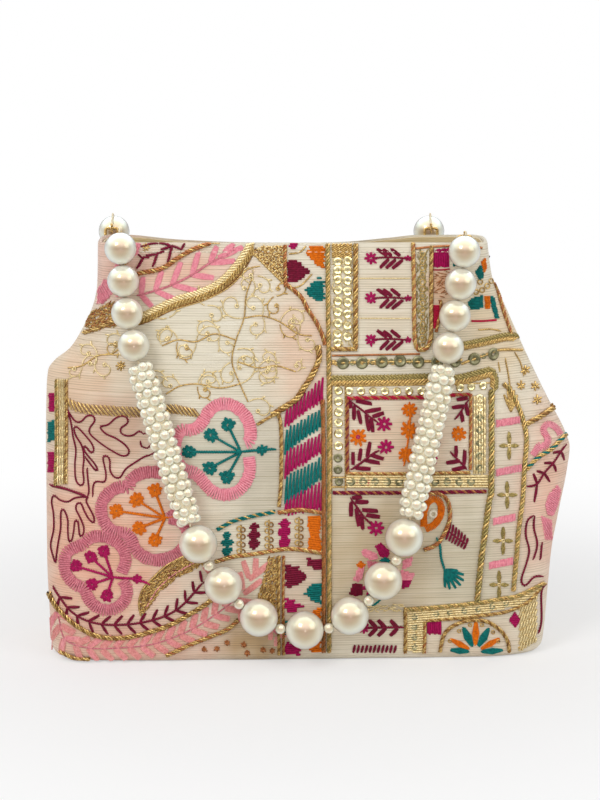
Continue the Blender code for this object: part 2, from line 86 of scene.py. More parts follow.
class SmoothTable:
    """A smooth curve through given (place, value) points with rising places."""

    def __init__(self, points: Points) -> None:
        """Work out the slope at each point.

        Args:
            points: The given points.
        """
        self.places = np.array([place for place, _ in points])
        self.values = np.array([value for _, value in points])
        grades = np.diff(self.values) / np.diff(self.places)
        before, after = grades[:-1], grades[1:]
        total = np.where(before + after == 0.0, 1.0, before + after)
        inner = np.where(before * after <= 0.0, 0.0, 2.0 * before * after / total)
        self.slopes = np.concatenate(([grades[0]], inner, [grades[-1]]))

    def at(self, place: np.ndarray | float) -> np.ndarray:
        """Read the curve.

        Args:
            place: Where to read it, held within the points' places.

        Returns:
            The values there.
        """
        held = np.clip(np.asarray(place, dtype=float), self.places[0], self.places[-1])
        left = np.clip(np.searchsorted(self.places, held, side="left") - 1, 0, len(self.places) - 2)
        right = left + 1
        span = self.places[right] - self.places[left]
        share = (held - self.places[left]) / span
        square, cube = share ** 2, share ** 3
        return ((2 * cube - 3 * square + 1) * self.values[left]
                + (cube - 2 * square + share) * span * self.slopes[left]
                + (3 * square - 2 * cube) * self.values[right] + (cube - square) * span * self.slopes[right])


@dataclass
class BagForm:
    """The bag's outer surface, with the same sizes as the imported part."""

    height: float = 210.0 * MM
    half_width: float = 134.3 * MM
    half_depth: float = 38.0 * MM
    base_round: float = 5.0 * MM
    side_taper: float = 5.0 * MM
    front_rim_depth: float = 12.0 * MM
    back_rim_depth: float = 18.5 * MM
    back_rim_dent: float = 13.0 * MM
    back_rim_sag: float = 2.5 * MM
    rim_dent_from: float = 0.62
    crowding: float = 0.6
    slack_mm: float = 0.55
    foot_pucker_mm: float = 0.22
    brim_pucker_mm: float = 0.2
    settled_mm: float = 0.25
    foot_reach: float = 28.0 * MM
    brim_reach: float = 18.0 * MM
    left_edge: SmoothTable = field(default_factory=lambda: SmoothTable([
        (0.0, 0.979), (0.081, 0.986), (0.229, 0.997), (0.465, 1.0), (0.639, 0.992), (0.683, 0.984),
        (0.705, 0.96), (0.735, 0.901), (0.773, 0.861), (0.851, 0.805), (0.891, 0.793), (1.0, 0.785)]))
    right_edge: SmoothTable = field(default_factory=lambda: SmoothTable([
        (0.0, 0.896), (0.048, 0.907), (0.147, 0.92), (0.243, 0.934), (0.343, 0.963), (0.436, 0.991),
        (0.49, 1.0), (0.525, 0.983), (0.616, 0.909), (0.733, 0.819), (0.851, 0.735), (0.911, 0.692),
        (1.0, 0.67)]))
    front_swell: SmoothTable = field(default_factory=lambda: SmoothTable([
        (0.0, 1.0), (0.12, 0.99), (0.3, 0.9), (0.45, 0.76), (0.6, 0.57), (0.75, 0.37), (0.9, 0.14),
        (1.0, 0.0)]))
    square_x: SmoothTable = field(default_factory=lambda: SmoothTable([
        (0.0, 6.5), (0.3, 5.0), (0.5, 3.8), (0.65, 3.4), (0.85, 6.0), (0.94, 18.0), (1.0, 40.0)]))
    square_y: SmoothTable = field(default_factory=lambda: SmoothTable([
        (0.0, 5.5), (0.25, 3.4), (0.5, 1.7), (0.65, 1.35), (0.85, 1.6), (1.0, 3.5)]))
    rim_dent: SmoothTable = field(default_factory=lambda: SmoothTable([
        (0.0, 0.0), (0.06, 0.02), (0.2, 0.6), (0.38, 0.93), (0.5, 1.0), (0.62, 0.9), (0.75, 0.4),
        (0.83, 0.04), (1.0, 0.0)]))

    def edges(self, z: np.ndarray | float) -> tuple[np.ndarray, np.ndarray]:
        """Give the x of the left and right side seams at a height."""
        share = np.asarray(z) / self.height
        return -self.half_width * self.left_edge.at(share), self.half_width * self.right_edge.at(share)

    def skin_y(self, x: np.ndarray, z: np.ndarray, side: Side) -> np.ndarray:
        """Give the y of the plain outer surface.

        Args:
            x: Places across the bag.
            z: Heights.
            side: The panel.

        Returns:
            The y of each place.
        """
        left, right = self.edges(z)
        share = np.clip(np.asarray(z) / self.height, 0.0, 1.0)
        along = np.clip((x - left) / (right - left), 0.0, 1.0)
        across = np.abs(2.0 * along - 1.0)
        fullness = (1.0 - across ** self.square_x.at(share)) ** (1.0 / self.square_y.at(share))
        swell = self.front_swell.at(share)
        rim = self.front_rim_depth
        depth = rim + (self.half_depth - rim - self.side_taper * (2.0 * along - 1.0)) * swell
        if side is Side.BACK:
            opened = self.back_rim_depth - rim - self.back_rim_dent * self.rim_dent.at(along)
            depth = depth + opened * self.ease((share - self.rim_dent_from) / (1.0 - self.rim_dent_from))
        return side.value * depth * fullness

    @staticmethod
    def ease(value: np.ndarray) -> np.ndarray:
        """Smooth step from 0 to 1."""
        held = np.clip(value, 0.0, 1.0)
        return held * held * (3.0 - 2.0 * held)

    def ripple(self, x: np.ndarray, z: np.ndarray, side: Side) -> np.ndarray:
        """Give how far the sewn cloth stands off its plain form: slack waves and seam puckers.

        Args:
            x: Places across the bag.
            z: Heights.
            side: The panel.

        Returns:
            Distances outward, mostly a little below nothing.
        """
        left, right = self.edges(z)
        along = np.clip((x - left) / (right - left), 0.0, 1.0)
        fade = 1.0 - np.abs(2.0 * along - 1.0) ** 6
        broad = np.sin(38.0 * x + 24.0 * z + 0.6) * np.sin(52.0 * z - 16.0 * x + 1.3 + side.value)
        foot = np.sin(150.0 * x + 1.0 + side.value) * np.exp(-z / self.foot_reach)
        brim = np.sin(115.0 * x + 2.1 + side.value) * np.exp((z - self.height) / self.brim_reach)
        return fade * MM * (self.slack_mm * broad + self.foot_pucker_mm * foot + self.brim_pucker_mm * brim
                            - self.settled_mm)

    def surface(self, x: np.ndarray, z: np.ndarray, side: Side) -> np.ndarray:
        """Give points on the sewn cloth.

        Args:
            x: Places across the bag.
            z: Heights.
            side: The panel.

        Returns:
            One row of x, y, z for each place.
        """
        y = self.skin_y(x, z, side) + side.value * self.ripple(x, z, side)
        return np.stack([x, y, z], axis=-1)

    def normals(self, x: np.ndarray, z: np.ndarray, side: Side) -> np.ndarray:
        """Give the outward normals of the sewn cloth.

        Args:
            x: Places across the bag.
            z: Heights.
            side: The panel.

        Returns:
            One unit row for each place.
        """
        step = 0.5 * MM
        across = (self.surface(x + step, z, side) - self.surface(x - step, z, side))[..., 1] / (2 * step)
        low, high = np.clip(z - step, 0.0, self.height), np.clip(z + step, 0.0, self.height)
        up = (self.surface(x, high, side) - self.surface(x, low, side))[..., 1] / (high - low)
        rows = side.value * np.stack([-across, np.ones_like(across), -up], axis=-1)
        return rows / np.linalg.norm(rows, axis=-1, keepdims=True)

    def section(self, z: float, count: int, inset: float) -> np.ndarray:
        """Space points round one level, from the left seam along the front and back along the back.

        Args:
            z: The level.
            count: How many spaces each panel has.
            inset: How far inward the points lie.

        Returns:
            Rows of x, y, z, first and last both at the left seam.
        """
        left, right = (float(edge) for edge in self.edges(z))
        middle, half = 0.5 * (left + right), 0.5 * (right - left)
        turn = np.linspace(0.0, math.pi, 241)
        rows = []
        for side in Side:
            line = self.surface(middle - half * np.cos(turn), np.full_like(turn, z), side)
            even = np.linspace(0.0, 1.0, count + 1)
            goal = even - self.crowding * np.sin(2.0 * math.pi * even) / (2.0 * math.pi)
            rows.append(read_line(line, distances(line)[-1] * goal))
        loop = np.concatenate([rows[0], rows[1][-2::-1]])
        depth = np.abs(loop[:, 1]).max()
        loop[:, 0] = middle + (loop[:, 0] - middle) * (half - inset) / half
        loop[:, 1] *= (depth - inset) / depth
        return loop


@dataclass
class Viewpoint:
    """The camera, and the photograph's grid of 600 by 800 units laid over the bag."""

    target: Vector = field(default_factory=lambda: Vector((-0.004, -0.020, 0.1315)))
    distance: float = 1.2
    elevation: float = math.radians(12.0)
    focal_units: float = 2390.0
    width: float = 600.0
    tall: float = 800.0
    film: float = 36.0

    def eye(self) -> Vector:
        """Give the camera's place."""
        reach = Vector((0.0, -math.cos(self.elevation), math.sin(self.elevation)))
        return self.target + self.distance * reach

    def make_camera(self) -> None:
        """Put up the camera, with no shift and everything in focus."""
        data = bpy.data.cameras.new("camera")
        data.sensor_fit = "HORIZONTAL"
        data.sensor_width = self.film
        data.lens = self.film * self.focal_units / self.width
        data.clip_start = 0.05
        data.clip_end = 60.0
        camera = bpy.data.objects.new("camera", data)
        bpy.context.scene.collection.objects.link(camera)
        camera.location = self.eye()
        camera.rotation_euler = (self.target - self.eye()).to_track_quat("-Z", "Y").to_euler()
        bpy.context.scene.camera = camera

    def axes(self) -> tuple[np.ndarray, np.ndarray, np.ndarray]:
        """Give the camera's own directions.

        Returns:
            Its unit directions ahead, right and up.
        """
        ahead = (self.target - self.eye()).normalized()
        right = ahead.cross(Vector((0.0, 0.0, 1.0))).normalized()
        return np.array(ahead), np.array(right), np.array(right.cross(ahead))

    def rays(self, across: np.ndarray, down: np.ndarray) -> np.ndarray:
        """Give the directions in which grid places lie from the camera.

        Args:
            across: Grid units from the left.
            down: Grid units from the top.

        Returns:
            One row for each place, a unit long along the camera's axis.
        """
        ahead, right, up = self.axes()
        aside = (across - 0.5 * self.width) / self.focal_units
        rise = (0.5 * self.tall - down) / self.focal_units
        return ahead + aside[..., None] * right + rise[..., None] * up

    def project(self, points: np.ndarray) -> tuple[np.ndarray, np.ndarray]:
        """Give the grid places where points are seen.

        Args:
            points: Rows of x, y, z.

        Returns:
            Grid units from the left and from the top.
        """
        ahead, right, up = self.axes()
        away = points - np.array(self.eye())
        depth = away @ ahead
        return (0.5 * self.width + self.focal_units * (away @ right) / depth,
                0.5 * self.tall - self.focal_units * (away @ up) / depth)


def back_places(x: np.ndarray, z: np.ndarray) -> tuple[np.ndarray, np.ndarray]:
    """Give the grid places of points on the back, where the grid lies square to the panel."""
    return BACK_MIDDLE + x / UNIT, BACK_FOOT - z / UNIT


@dataclass
class Chart:
    """Lays the design's grid on a panel: seen from the camera on the front, square on the back."""

    form: BagForm
    view: Viewpoint
    side: Side

    def place(self, across: np.ndarray, down: np.ndarray) -> tuple[np.ndarray, np.ndarray]:
        """Find where grid places fall on the panel.

        Args:
            across: Grid units from the left.
            down: Grid units from the top.

        Returns:
            The x and z of each.
        """
        if self.side is Side.BACK:
            x, z = (BACK_MIDDLE - across) * UNIT, (BACK_FOOT - down) * UNIT
        else:
            eye = np.array(self.view.eye())
            rays = self.view.rays(across, down)
            y = np.full(len(across), -0.03)
            for _ in range(10):
                spots = eye + rays * ((y - eye[1]) / rays[:, 1])[:, None]
                y = self.form.skin_y(spots[:, 0], np.clip(spots[:, 2], 0.0, self.form.height), self.side)
            x, z = spots[:, 0], spots[:, 2]
        z = np.clip(z, 1.2 * MM, self.form.height - 0.4 * MM)
        left, right = self.form.edges(z)
        return np.clip(x, left + 0.5 * MM, right - 0.5 * MM), z

    def lay(self, rows: np.ndarray) -> np.ndarray:
        """Lay stitch points on the cloth.

        Args:
            rows: Across, down, lift in millimetres and radius in millimetres.

        Returns:
            The points' x, y and z.
        """
        x, z = self.place(rows[:, 0], rows[:, 1])
        lift = rows[:, 2:3] * MM
        return self.form.surface(x, z, self.side) + lift * self.form.normals(x, z, self.side)


def tone(code: str) -> tuple[float, float, float, float]:
    """Turn a colour code of six hex digits into a linear colour.

    Args:
        code: The code, with its leading #.

    Returns:
        Red, green, blue and a full alpha.
    """
    parts = [int(code[i:i + 2], 16) / 255.0 for i in (1, 3, 5)]
    linear = [p / 12.92 if p <= 0.04045 else ((p + 0.055) / 1.055) ** 2.4 for p in parts]
    return (*linear, 1.0)


Feed = dict[str | int, object]


class Bench:
    """A node tree, with short ways to add and join nodes."""

    def __init__(self, tree: bpy.types.NodeTree) -> None:
        """Keep the tree.

        Args:
            tree: Where the nodes go.
        """
        self.tree = tree

    def feed(self, node: bpy.types.Node, inputs: Feed) -> None:
        """Set a node's inputs.

        Args:
            node: The node.
            inputs: What each gets: a value, or the output that it is joined to.
        """
        for key, value in inputs.items():
            if isinstance(value, bpy.types.NodeSocket):
                self.tree.links.new(value, node.inputs[key])
            else:
                node.inputs[key].default_value = value

    def node(self, kind: str, inputs: Feed | None = None, **settings: object) -> bpy.types.Node:
        """Add a node.

        Args:
            kind: The node's type name, without the ShaderNode that all start with.
            inputs: What its inputs get.
            settings: Its properties.

        Returns:
            The node.
        """
        made = self.tree.nodes.new(f"ShaderNode{kind}")
        for name, value in settings.items():
            setattr(made, name, value)
        self.feed(made, inputs or {})
        return made

    def times(self, one: object, other: object) -> bpy.types.NodeSocket:
        """Multiply two numbers, each a value or an output."""
        return self.node("Math", {0: one, 1: other}, operation="MULTIPLY").outputs[0]

    def mix(self, share: object, one: object, other: object, blend: str = "MIX") -> bpy.types.NodeSocket:
        """Mix two colours.

        Args:
            share: How much of the second shows, a value or an output.
            one: The first, a value or an output.
            other: The second.
            blend: How they are mixed.

        Returns:
            The mixed colour.
        """
        return self.node("Mix", {"Factor": share, 6: one, 7: other}, data_type="RGBA", blend_type=blend).outputs[2]


class Surface(Bench):
    """One material's node tree."""

    def __init__(self, name: str) -> None:
        """Start a material with its Principled shader.

        Args:
            name: The material's name.
        """
        self.material = bpy.data.materials.new(name)
        self.material.use_nodes = True
        super().__init__(self.material.node_tree)
        self.shader = self.tree.nodes["Principled BSDF"]

    def group(self, tree: bpy.types.NodeTree, inputs: Feed) -> bpy.types.Node:
        """Place a shared effect.

        Args:
            tree: The effect's group.
            inputs: What its inputs get.

        Returns:
            The group node.
        """
        placed = self.node("Group", node_tree=tree)
        self.feed(placed, inputs)
        return placed

    def mottle(self, shade: str, deep: str, grain: float, share: float) -> bpy.types.Node:
        """Place the mottle on the object's own coordinates.

        Args:
            shade: The colour code of most of it.
            deep: The colour code of its spots.
            grain: How fine it is.
            share: How far the spots go over to their colour.

        Returns:
            The group node.
        """
        spot = self.node("TexCoord").outputs["Object"]
        return self.group(Effects.mottle(), {"Vector": spot, "Shade": tone(shade), "Deep": tone(deep),
                                             "Scale": grain, "Share": share})

    def weave(self, fineness: float, slubs: float) -> bpy.types.Node:
        """Place the weave on the cloth's own chart.

        Args:
            fineness: Its threads a metre.
            slubs: How much the slubs stand out.

        Returns:
            The group node.
        """
        chart = self.node("UVMap", uv_map="cloth").outputs["UV"]
        return self.group(Effects.weave(), {"Vector": chart, "Threads a metre": fineness, "Slub length": slubs})

    def bump(self, height: bpy.types.NodeSocket, depth: float, strength: float) -> None:
        """Raise the surface by a height.

        Args:
            height: What gives the height.
            depth: The bump's distance in metres.
            strength: How much of it shows.
        """
        made = self.node("Bump", {"Distance": depth, "Strength": strength, "Height": height})
        self.set(Normal=made.outputs["Normal"])

    def set(self, **inputs: object) -> None:
        """Set the shader's own inputs, by name with _ for a space."""
        self.feed(self.shader, {name.replace("_", " "): value for name, value in inputs.items()})


class Effects:
    """The effects that several finishes share, each a node group built once."""

    SOCKETS = {"colour": "NodeSocketColor", "value": "NodeSocketFloat", "vector": "NodeSocketVector"}

    @classmethod
    def open_group(cls, name: str, inputs: dict[str, str],
                   outputs: dict[str, str]) -> tuple[Bench, bpy.types.NodeOutputs, bpy.types.Node]:
        """Start a group with its sockets.

        Args:
            name: The group's name.
            inputs: Each input's name and kind.
            outputs: Each output's name and kind.

        Returns:
            The bench for its tree, what it is given and its output node.
        """
        tree = bpy.data.node_groups.new(name, "ShaderNodeTree")
        for way, sockets in (("INPUT", inputs), ("OUTPUT", outputs)):
            for label, kind in sockets.items():
                tree.interface.new_socket(label, in_out=way, socket_type=cls.SOCKETS[kind])
        return Bench(tree), tree.nodes.new("NodeGroupInput").outputs, tree.nodes.new("NodeGroupOutput")

    @classmethod
    def mottle(cls) -> bpy.types.NodeTree:
        """Give the group that varies a colour from spot to spot, as dye and twist do.

        Returns:
            The group.
        """
        if "mottle" in bpy.data.node_groups:
            return bpy.data.node_groups["mottle"]
        bench, given, out = cls.open_group(
            "mottle", {"Vector": "vector", "Shade": "colour", "Deep": "colour", "Scale": "value", "Share": "value"},
            {"Colour": "colour", "Height": "value"})
        noise = bench.node("TexNoise", {"Vector": given["Vector"], "Scale": given["Scale"], "Detail": 3.0,
                                        "Roughness": 0.6}).outputs["Fac"]
        spread = bench.node("MapRange", {"Value": noise, "From Min": 0.34, "From Max": 0.66}).outputs["Result"]
        mixed = bench.mix(bench.times(spread, given["Share"]), given["Shade"], given["Deep"])
        bench.feed(out, {"Colour": mixed, "Height": noise})
        return bench.tree

    @classmethod
    def weave(cls) -> bpy.types.NodeTree:
        """Give the group for plain-woven cloth: fine crossing threads and long uneven weft lines.

        Returns:
            The group.
        """
        if "weave" in bpy.data.node_groups:
            return bpy.data.node_groups["weave"]
        bench, given, out = cls.open_group(
            "weave", {"Vector": "vector", "Threads a metre": "value", "Slub length": "value"},
            {"Weft lines": "value", "Slubs": "value", "Height": "value"})
        vector = given["Vector"]

        def streaks(across: float, up: float, low: float, high: float, detail: float) -> bpy.types.NodeSocket:
            """Give noise drawn out along the weft, cut to a band of its values."""
            drawn = bench.node("Mapping", {"Vector": vector, "Scale": (across, up, 1.0)}).outputs["Vector"]
            noise = bench.node("TexNoise", {"Vector": drawn, "Scale": 1.0, "Detail": detail}).outputs["Fac"]
            return bench.node("MapRange", {"Value": noise, "From Min": low, "From Max": high}).outputs["Result"]

        fine = streaks(24.0, 1100.0, 0.38, 0.62, 2.0)
        slubs = streaks(16.0, 950.0, 0.58, 0.70, 1.0)
        ruled = bench.node("TexWave", {"Vector": vector, "Scale": 262.0, "Distortion": 0.5, "Detail": 1.0},
                           bands_direction="Y").outputs["Fac"]
        lines = bench.node("MapRange", {"Value": ruled, "From Min": 0.35}, interpolation_type="SMOOTHSTEP")
        scaled = bench.node("VectorMath", {0: vector, "Scale": given["Threads a metre"]}, operation="SCALE")
        warp, weft = (bench.node("TexWave", {"Vector": scaled.outputs["Vector"], "Scale": 1.0, "Distortion": 0.6},
                                 bands_direction=way).outputs["Fac"] for way in ("X", "Y"))
        relief = bench.node("Math", {0: fine, 1: given["Slub length"], 2: bench.times(warp, weft)},
                            operation="MULTIPLY_ADD")
        bench.feed(out, {"Weft lines": bench.times(lines.outputs["Result"], fine), "Slubs": slubs,
                         "Height": relief.outputs[0]})
        return bench.tree


@dataclass(frozen=True)
class MottledFinish:
    """A colour that varies a little from spot to spot: silk, metal thread, metal film, board or brass."""

    name: str
    shade: str
    deep: str
    metallic: float = 0.0
    roughness: float = 0.55
    grain: float = 900.0
    share: float = 0.8
    gloss: float = 0.2
    relief: float = 0.15 * MM
    strength: float = 0.6

    def dress(self) -> bpy.types.Material:
        """Make the material.

        Returns:
            The material.
        """
        bench = Surface(self.name)
        mottle = bench.mottle(self.shade, self.deep, self.grain, self.share).outputs
        bench.bump(mottle["Height"], self.relief, self.strength)
        bench.set(Base_Color=mottle["Colour"], Metallic=self.metallic, Roughness=self.roughness,
                  Specular_IOR_Level=self.gloss)
        return bench.material


BRIGHT_FILM = MottledFinish("pale_gold_film", "#EADFB4", "#B8A468", 0.85, 0.25, 420.0, 0.9, 0.5, 0.05 * MM, 0.5)
KHAKI_FILM = MottledFinish("khaki_film", "#8F8A64", "#4E4B30", 0.35, 0.45, 420.0, 0.9, 0.5, 0.05 * MM, 0.5)
GREYBOARD = MottledFinish("greyboard", "#9A8A74", "#7C6C58", 0.0, 0.9, 600.0, 0.7, 0.5, 0.2 * MM, 0.5)
PLATED_BRASS = MottledFinish("plated_brass", "#E3C27A", "#B58E48", 1.0, 0.28, 260.0, 0.6, 0.5, 0.02 * MM, 0.5)


@dataclass(frozen=True)
class ClothFinish:
    """Cream slub cloth with fine gold-grey weft lines, printed in soft pink and peach clouds and darkened by clouds of
    painted shade.
    """

    name: str = "slub_cloth"
    cream: str = "#EAE1CC"
    line: str = "#A0906A"
    slub: str = "#FBF6E8"
    line_share: float = 0.54
    slub_share: float = 0.45

    def dress(self) -> bpy.types.Material:
        """Make the material.

        Returns:
            The material.
        """
        bench = Surface(self.name)
        weave = bench.weave(700.0, 0.8).outputs
        lined = bench.mix(bench.times(weave["Weft lines"], self.line_share), tone(self.cream), tone(self.line))
        slubbed = bench.mix(bench.times(weave["Slubs"], self.slub_share), lined, tone(self.slub))
        # The clouds: printed tints and painted shade, multiplied into the weave's colour.
        print_and_shade_clouds = bench.node("Attribute", attribute_name="print_and_shade_tint").outputs["Color"]
        bench.bump(weave["Height"], 0.12 * MM, 0.7)
        bench.set(Base_Color=bench.mix(1.0, slubbed, print_and_shade_clouds, "MULTIPLY"), Roughness=0.72, Sheen_Weight=0.25)
        return bench.material


@dataclass(frozen=True)
class SatinFinish:
    """Gold-beige lining satin."""

    name: str = "lining_satin"
    shade: str = "#E2CD9F"
    deep: str = "#C2A66E"

    def dress(self) -> bpy.types.Material:
        """Make the material.

        Returns:
            The material.
        """
        bench = Surface(self.name)
        weave = bench.weave(1600.0, 0.25).outputs
        bench.bump(weave["Height"], 0.05 * MM, 0.6)
        bench.set(Base_Color=bench.mix(weave["Weft lines"], tone(self.shade), tone(self.deep)), Roughness=0.38,
                  Sheen_Weight=0.2, Anisotropic=0.4)
        return bench.material


@dataclass(frozen=True)
class PearlFinish:
    """Pearl lacquer: a warm grey heart of painted reflection, darkest where the pearl faces the camera, under a pale
    cream skin that shows more toward the edge.
    """

    name: str
    # heart is painted reflection: the darker middle that a pearl shows where it faces the camera.
    heart: str = "#B39C80"
    skin: str = "#F4EEE3"
    blush: str = "#ECD8C2"
    roughness: float = 0.3

    def dress(self) -> bpy.types.Material:
        """Make the material.

        Returns:
            The material.
        """
        bench = Surface(self.name)
        skin = bench.mottle(self.skin, self.blush, 55.0, 0.8).outputs["Colour"]
        # Painted reflection: the base colour goes from the darker heart, where the pearl faces the camera, to the paler
        # skin toward its rim, standing in for the dark room and bright surround that a pearl mirrors.
        painted_reflection_facing = bench.node("LayerWeight", {"Blend": 0.5}).outputs["Facing"]
        edge = bench.node("MapRange", {"Value": painted_reflection_facing, "From Min": 0.0, "From Max": 0.4},
                          interpolation_type="SMOOTHSTEP").outputs["Result"]
        bench.set(Base_Color=bench.mix(edge, tone(self.heart), skin), Roughness=self.roughness, Coat_Weight=1.0,
                  Coat_Roughness=0.1, Coat_IOR=1.9, IOR=1.6, Specular_IOR_Level=0.9, Thin_Film_Thickness=400.0,
                  Thin_Film_IOR=1.5)
        return bench.material


class Thread(Enum):
    """The embroidery threads, each with its finish."""

    MAGENTA = MottledFinish("magenta_silk", "#BA0E60", "#82063C")
    WINE = MottledFinish("wine_silk", "#861036", "#54081E")
    PINK = MottledFinish("pink_silk", "#F8A8B4", "#DE7A8C")
    ROSE = MottledFinish("rose_silk", "#E28E98", "#B4586A")
    SALMON = MottledFinish("salmon_silk", "#F2AEA8", "#D47E7A")
    TEAL = MottledFinish("teal_silk", "#007C76", "#004C4A")
    ORANGE = MottledFinish("orange_silk", "#EE7E0A", "#BA5604")
    RED = MottledFinish("red_silk", "#C81C44", "#8E0E2C")
    CREAM = MottledFinish("cream_silk", "#F6EEDC", "#DCCFB4")
    GOLD = MottledFinish("gold_thread", "#DFBE74", "#6E4212", 0.5, 0.36, 1400.0, 0.9, 0.5)
    DARK_GOLD = MottledFinish("dark_gold_thread", "#A47434", "#50300E", 0.45, 0.42, 1400.0, 0.9, 0.5)
    PALE_GOLD = MottledFinish("pale_gold_thread", "#EBDAAA", "#B09050", 0.4, 0.34, 1400.0, 0.8, 0.5)
    COPPER = MottledFinish("copper_thread", "#BC7840", "#70360F", 0.4, 0.42, 1400.0, 0.9, 0.5)
    GREEN_GOLD = MottledFinish("green_gold_thread", "#AE9A5A", "#625426", 0.45, 0.4, 1400.0, 0.9, 0.5)
    STRING = MottledFinish("string_silk", "#F2E7CF", "#D9C59C")

    @property
    def metal(self) -> bool:
        """Tell whether the thread is wrapped with metal."""
        return self.value.metallic > 0.0


(MAGENTA, WINE, PINK, ROSE, SALMON, TEAL, ORANGE, RED, CREAM, GOLD, DARK_GOLD, PALE_GOLD, COPPER, GREEN_GOLD,
 STRING) = Thread


def pairs(*flat: float) -> Points:
    """Read numbers off as points, across and down by turns."""
    return list(zip(flat[::2], flat[1::2], strict=True))


def curve_through(points: np.ndarray, steps: int) -> np.ndarray:
    """Draw a smooth curve through points, of which the first and last only guide its ends.

    Args:
        points: Their rows.
        steps: How many places each stretch between two points gets.

    Returns:
        The curve's rows.
    """
    share = np.linspace(0.0, 1.0, steps, endpoint=False)[:, None]
    dense = [0.5 * (2 * b + (c - a) * share + (2 * a - 5 * b + 4 * c - d) * share ** 2
                    + (3 * b - a - 3 * c + d) * share ** 3)
             for a, b, c, d in zip(points, points[1:], points[2:], points[3:])]
    return np.vstack([*dense, points[-2:-1]])


def smooth_path(points: Points, step: float) -> np.ndarray:
    """Draw a smooth curve through given points and space it evenly.

    Args:
        points: The given points.
        step: The spacing.

    Returns:
        Rows of across and down.
    """
    given = np.array(points, dtype=float)
    if len(given) > 2:
        given = curve_through(np.vstack([2 * given[0] - given[1], given, 2 * given[-1] - given[-2]]), 12)
    return spaced(given, step)


def spaced(line: np.ndarray, step: float) -> np.ndarray:
    """Space a broken line's points evenly.

    Args:
        line: Rows of coordinates.
        step: About how far apart the points come to lie.

    Returns:
        The evenly spaced rows.
    """
    run = distances(line)
    return read_line(line, np.linspace(0.0, run[-1], max(int(round(run[-1] / step)), 1) + 1))


def sideways(line: np.ndarray) -> np.ndarray:
    """Give the unit direction square to a line at each of its points.

    Args:
        line: Rows of across and down.

    Returns:
        One row for each point.
    """
    ahead = np.gradient(line, axis=0)
    ahead /= np.maximum(np.linalg.norm(ahead, axis=1, keepdims=True), 1e-9)
    return np.stack([-ahead[:, 1], ahead[:, 0]], axis=-1)


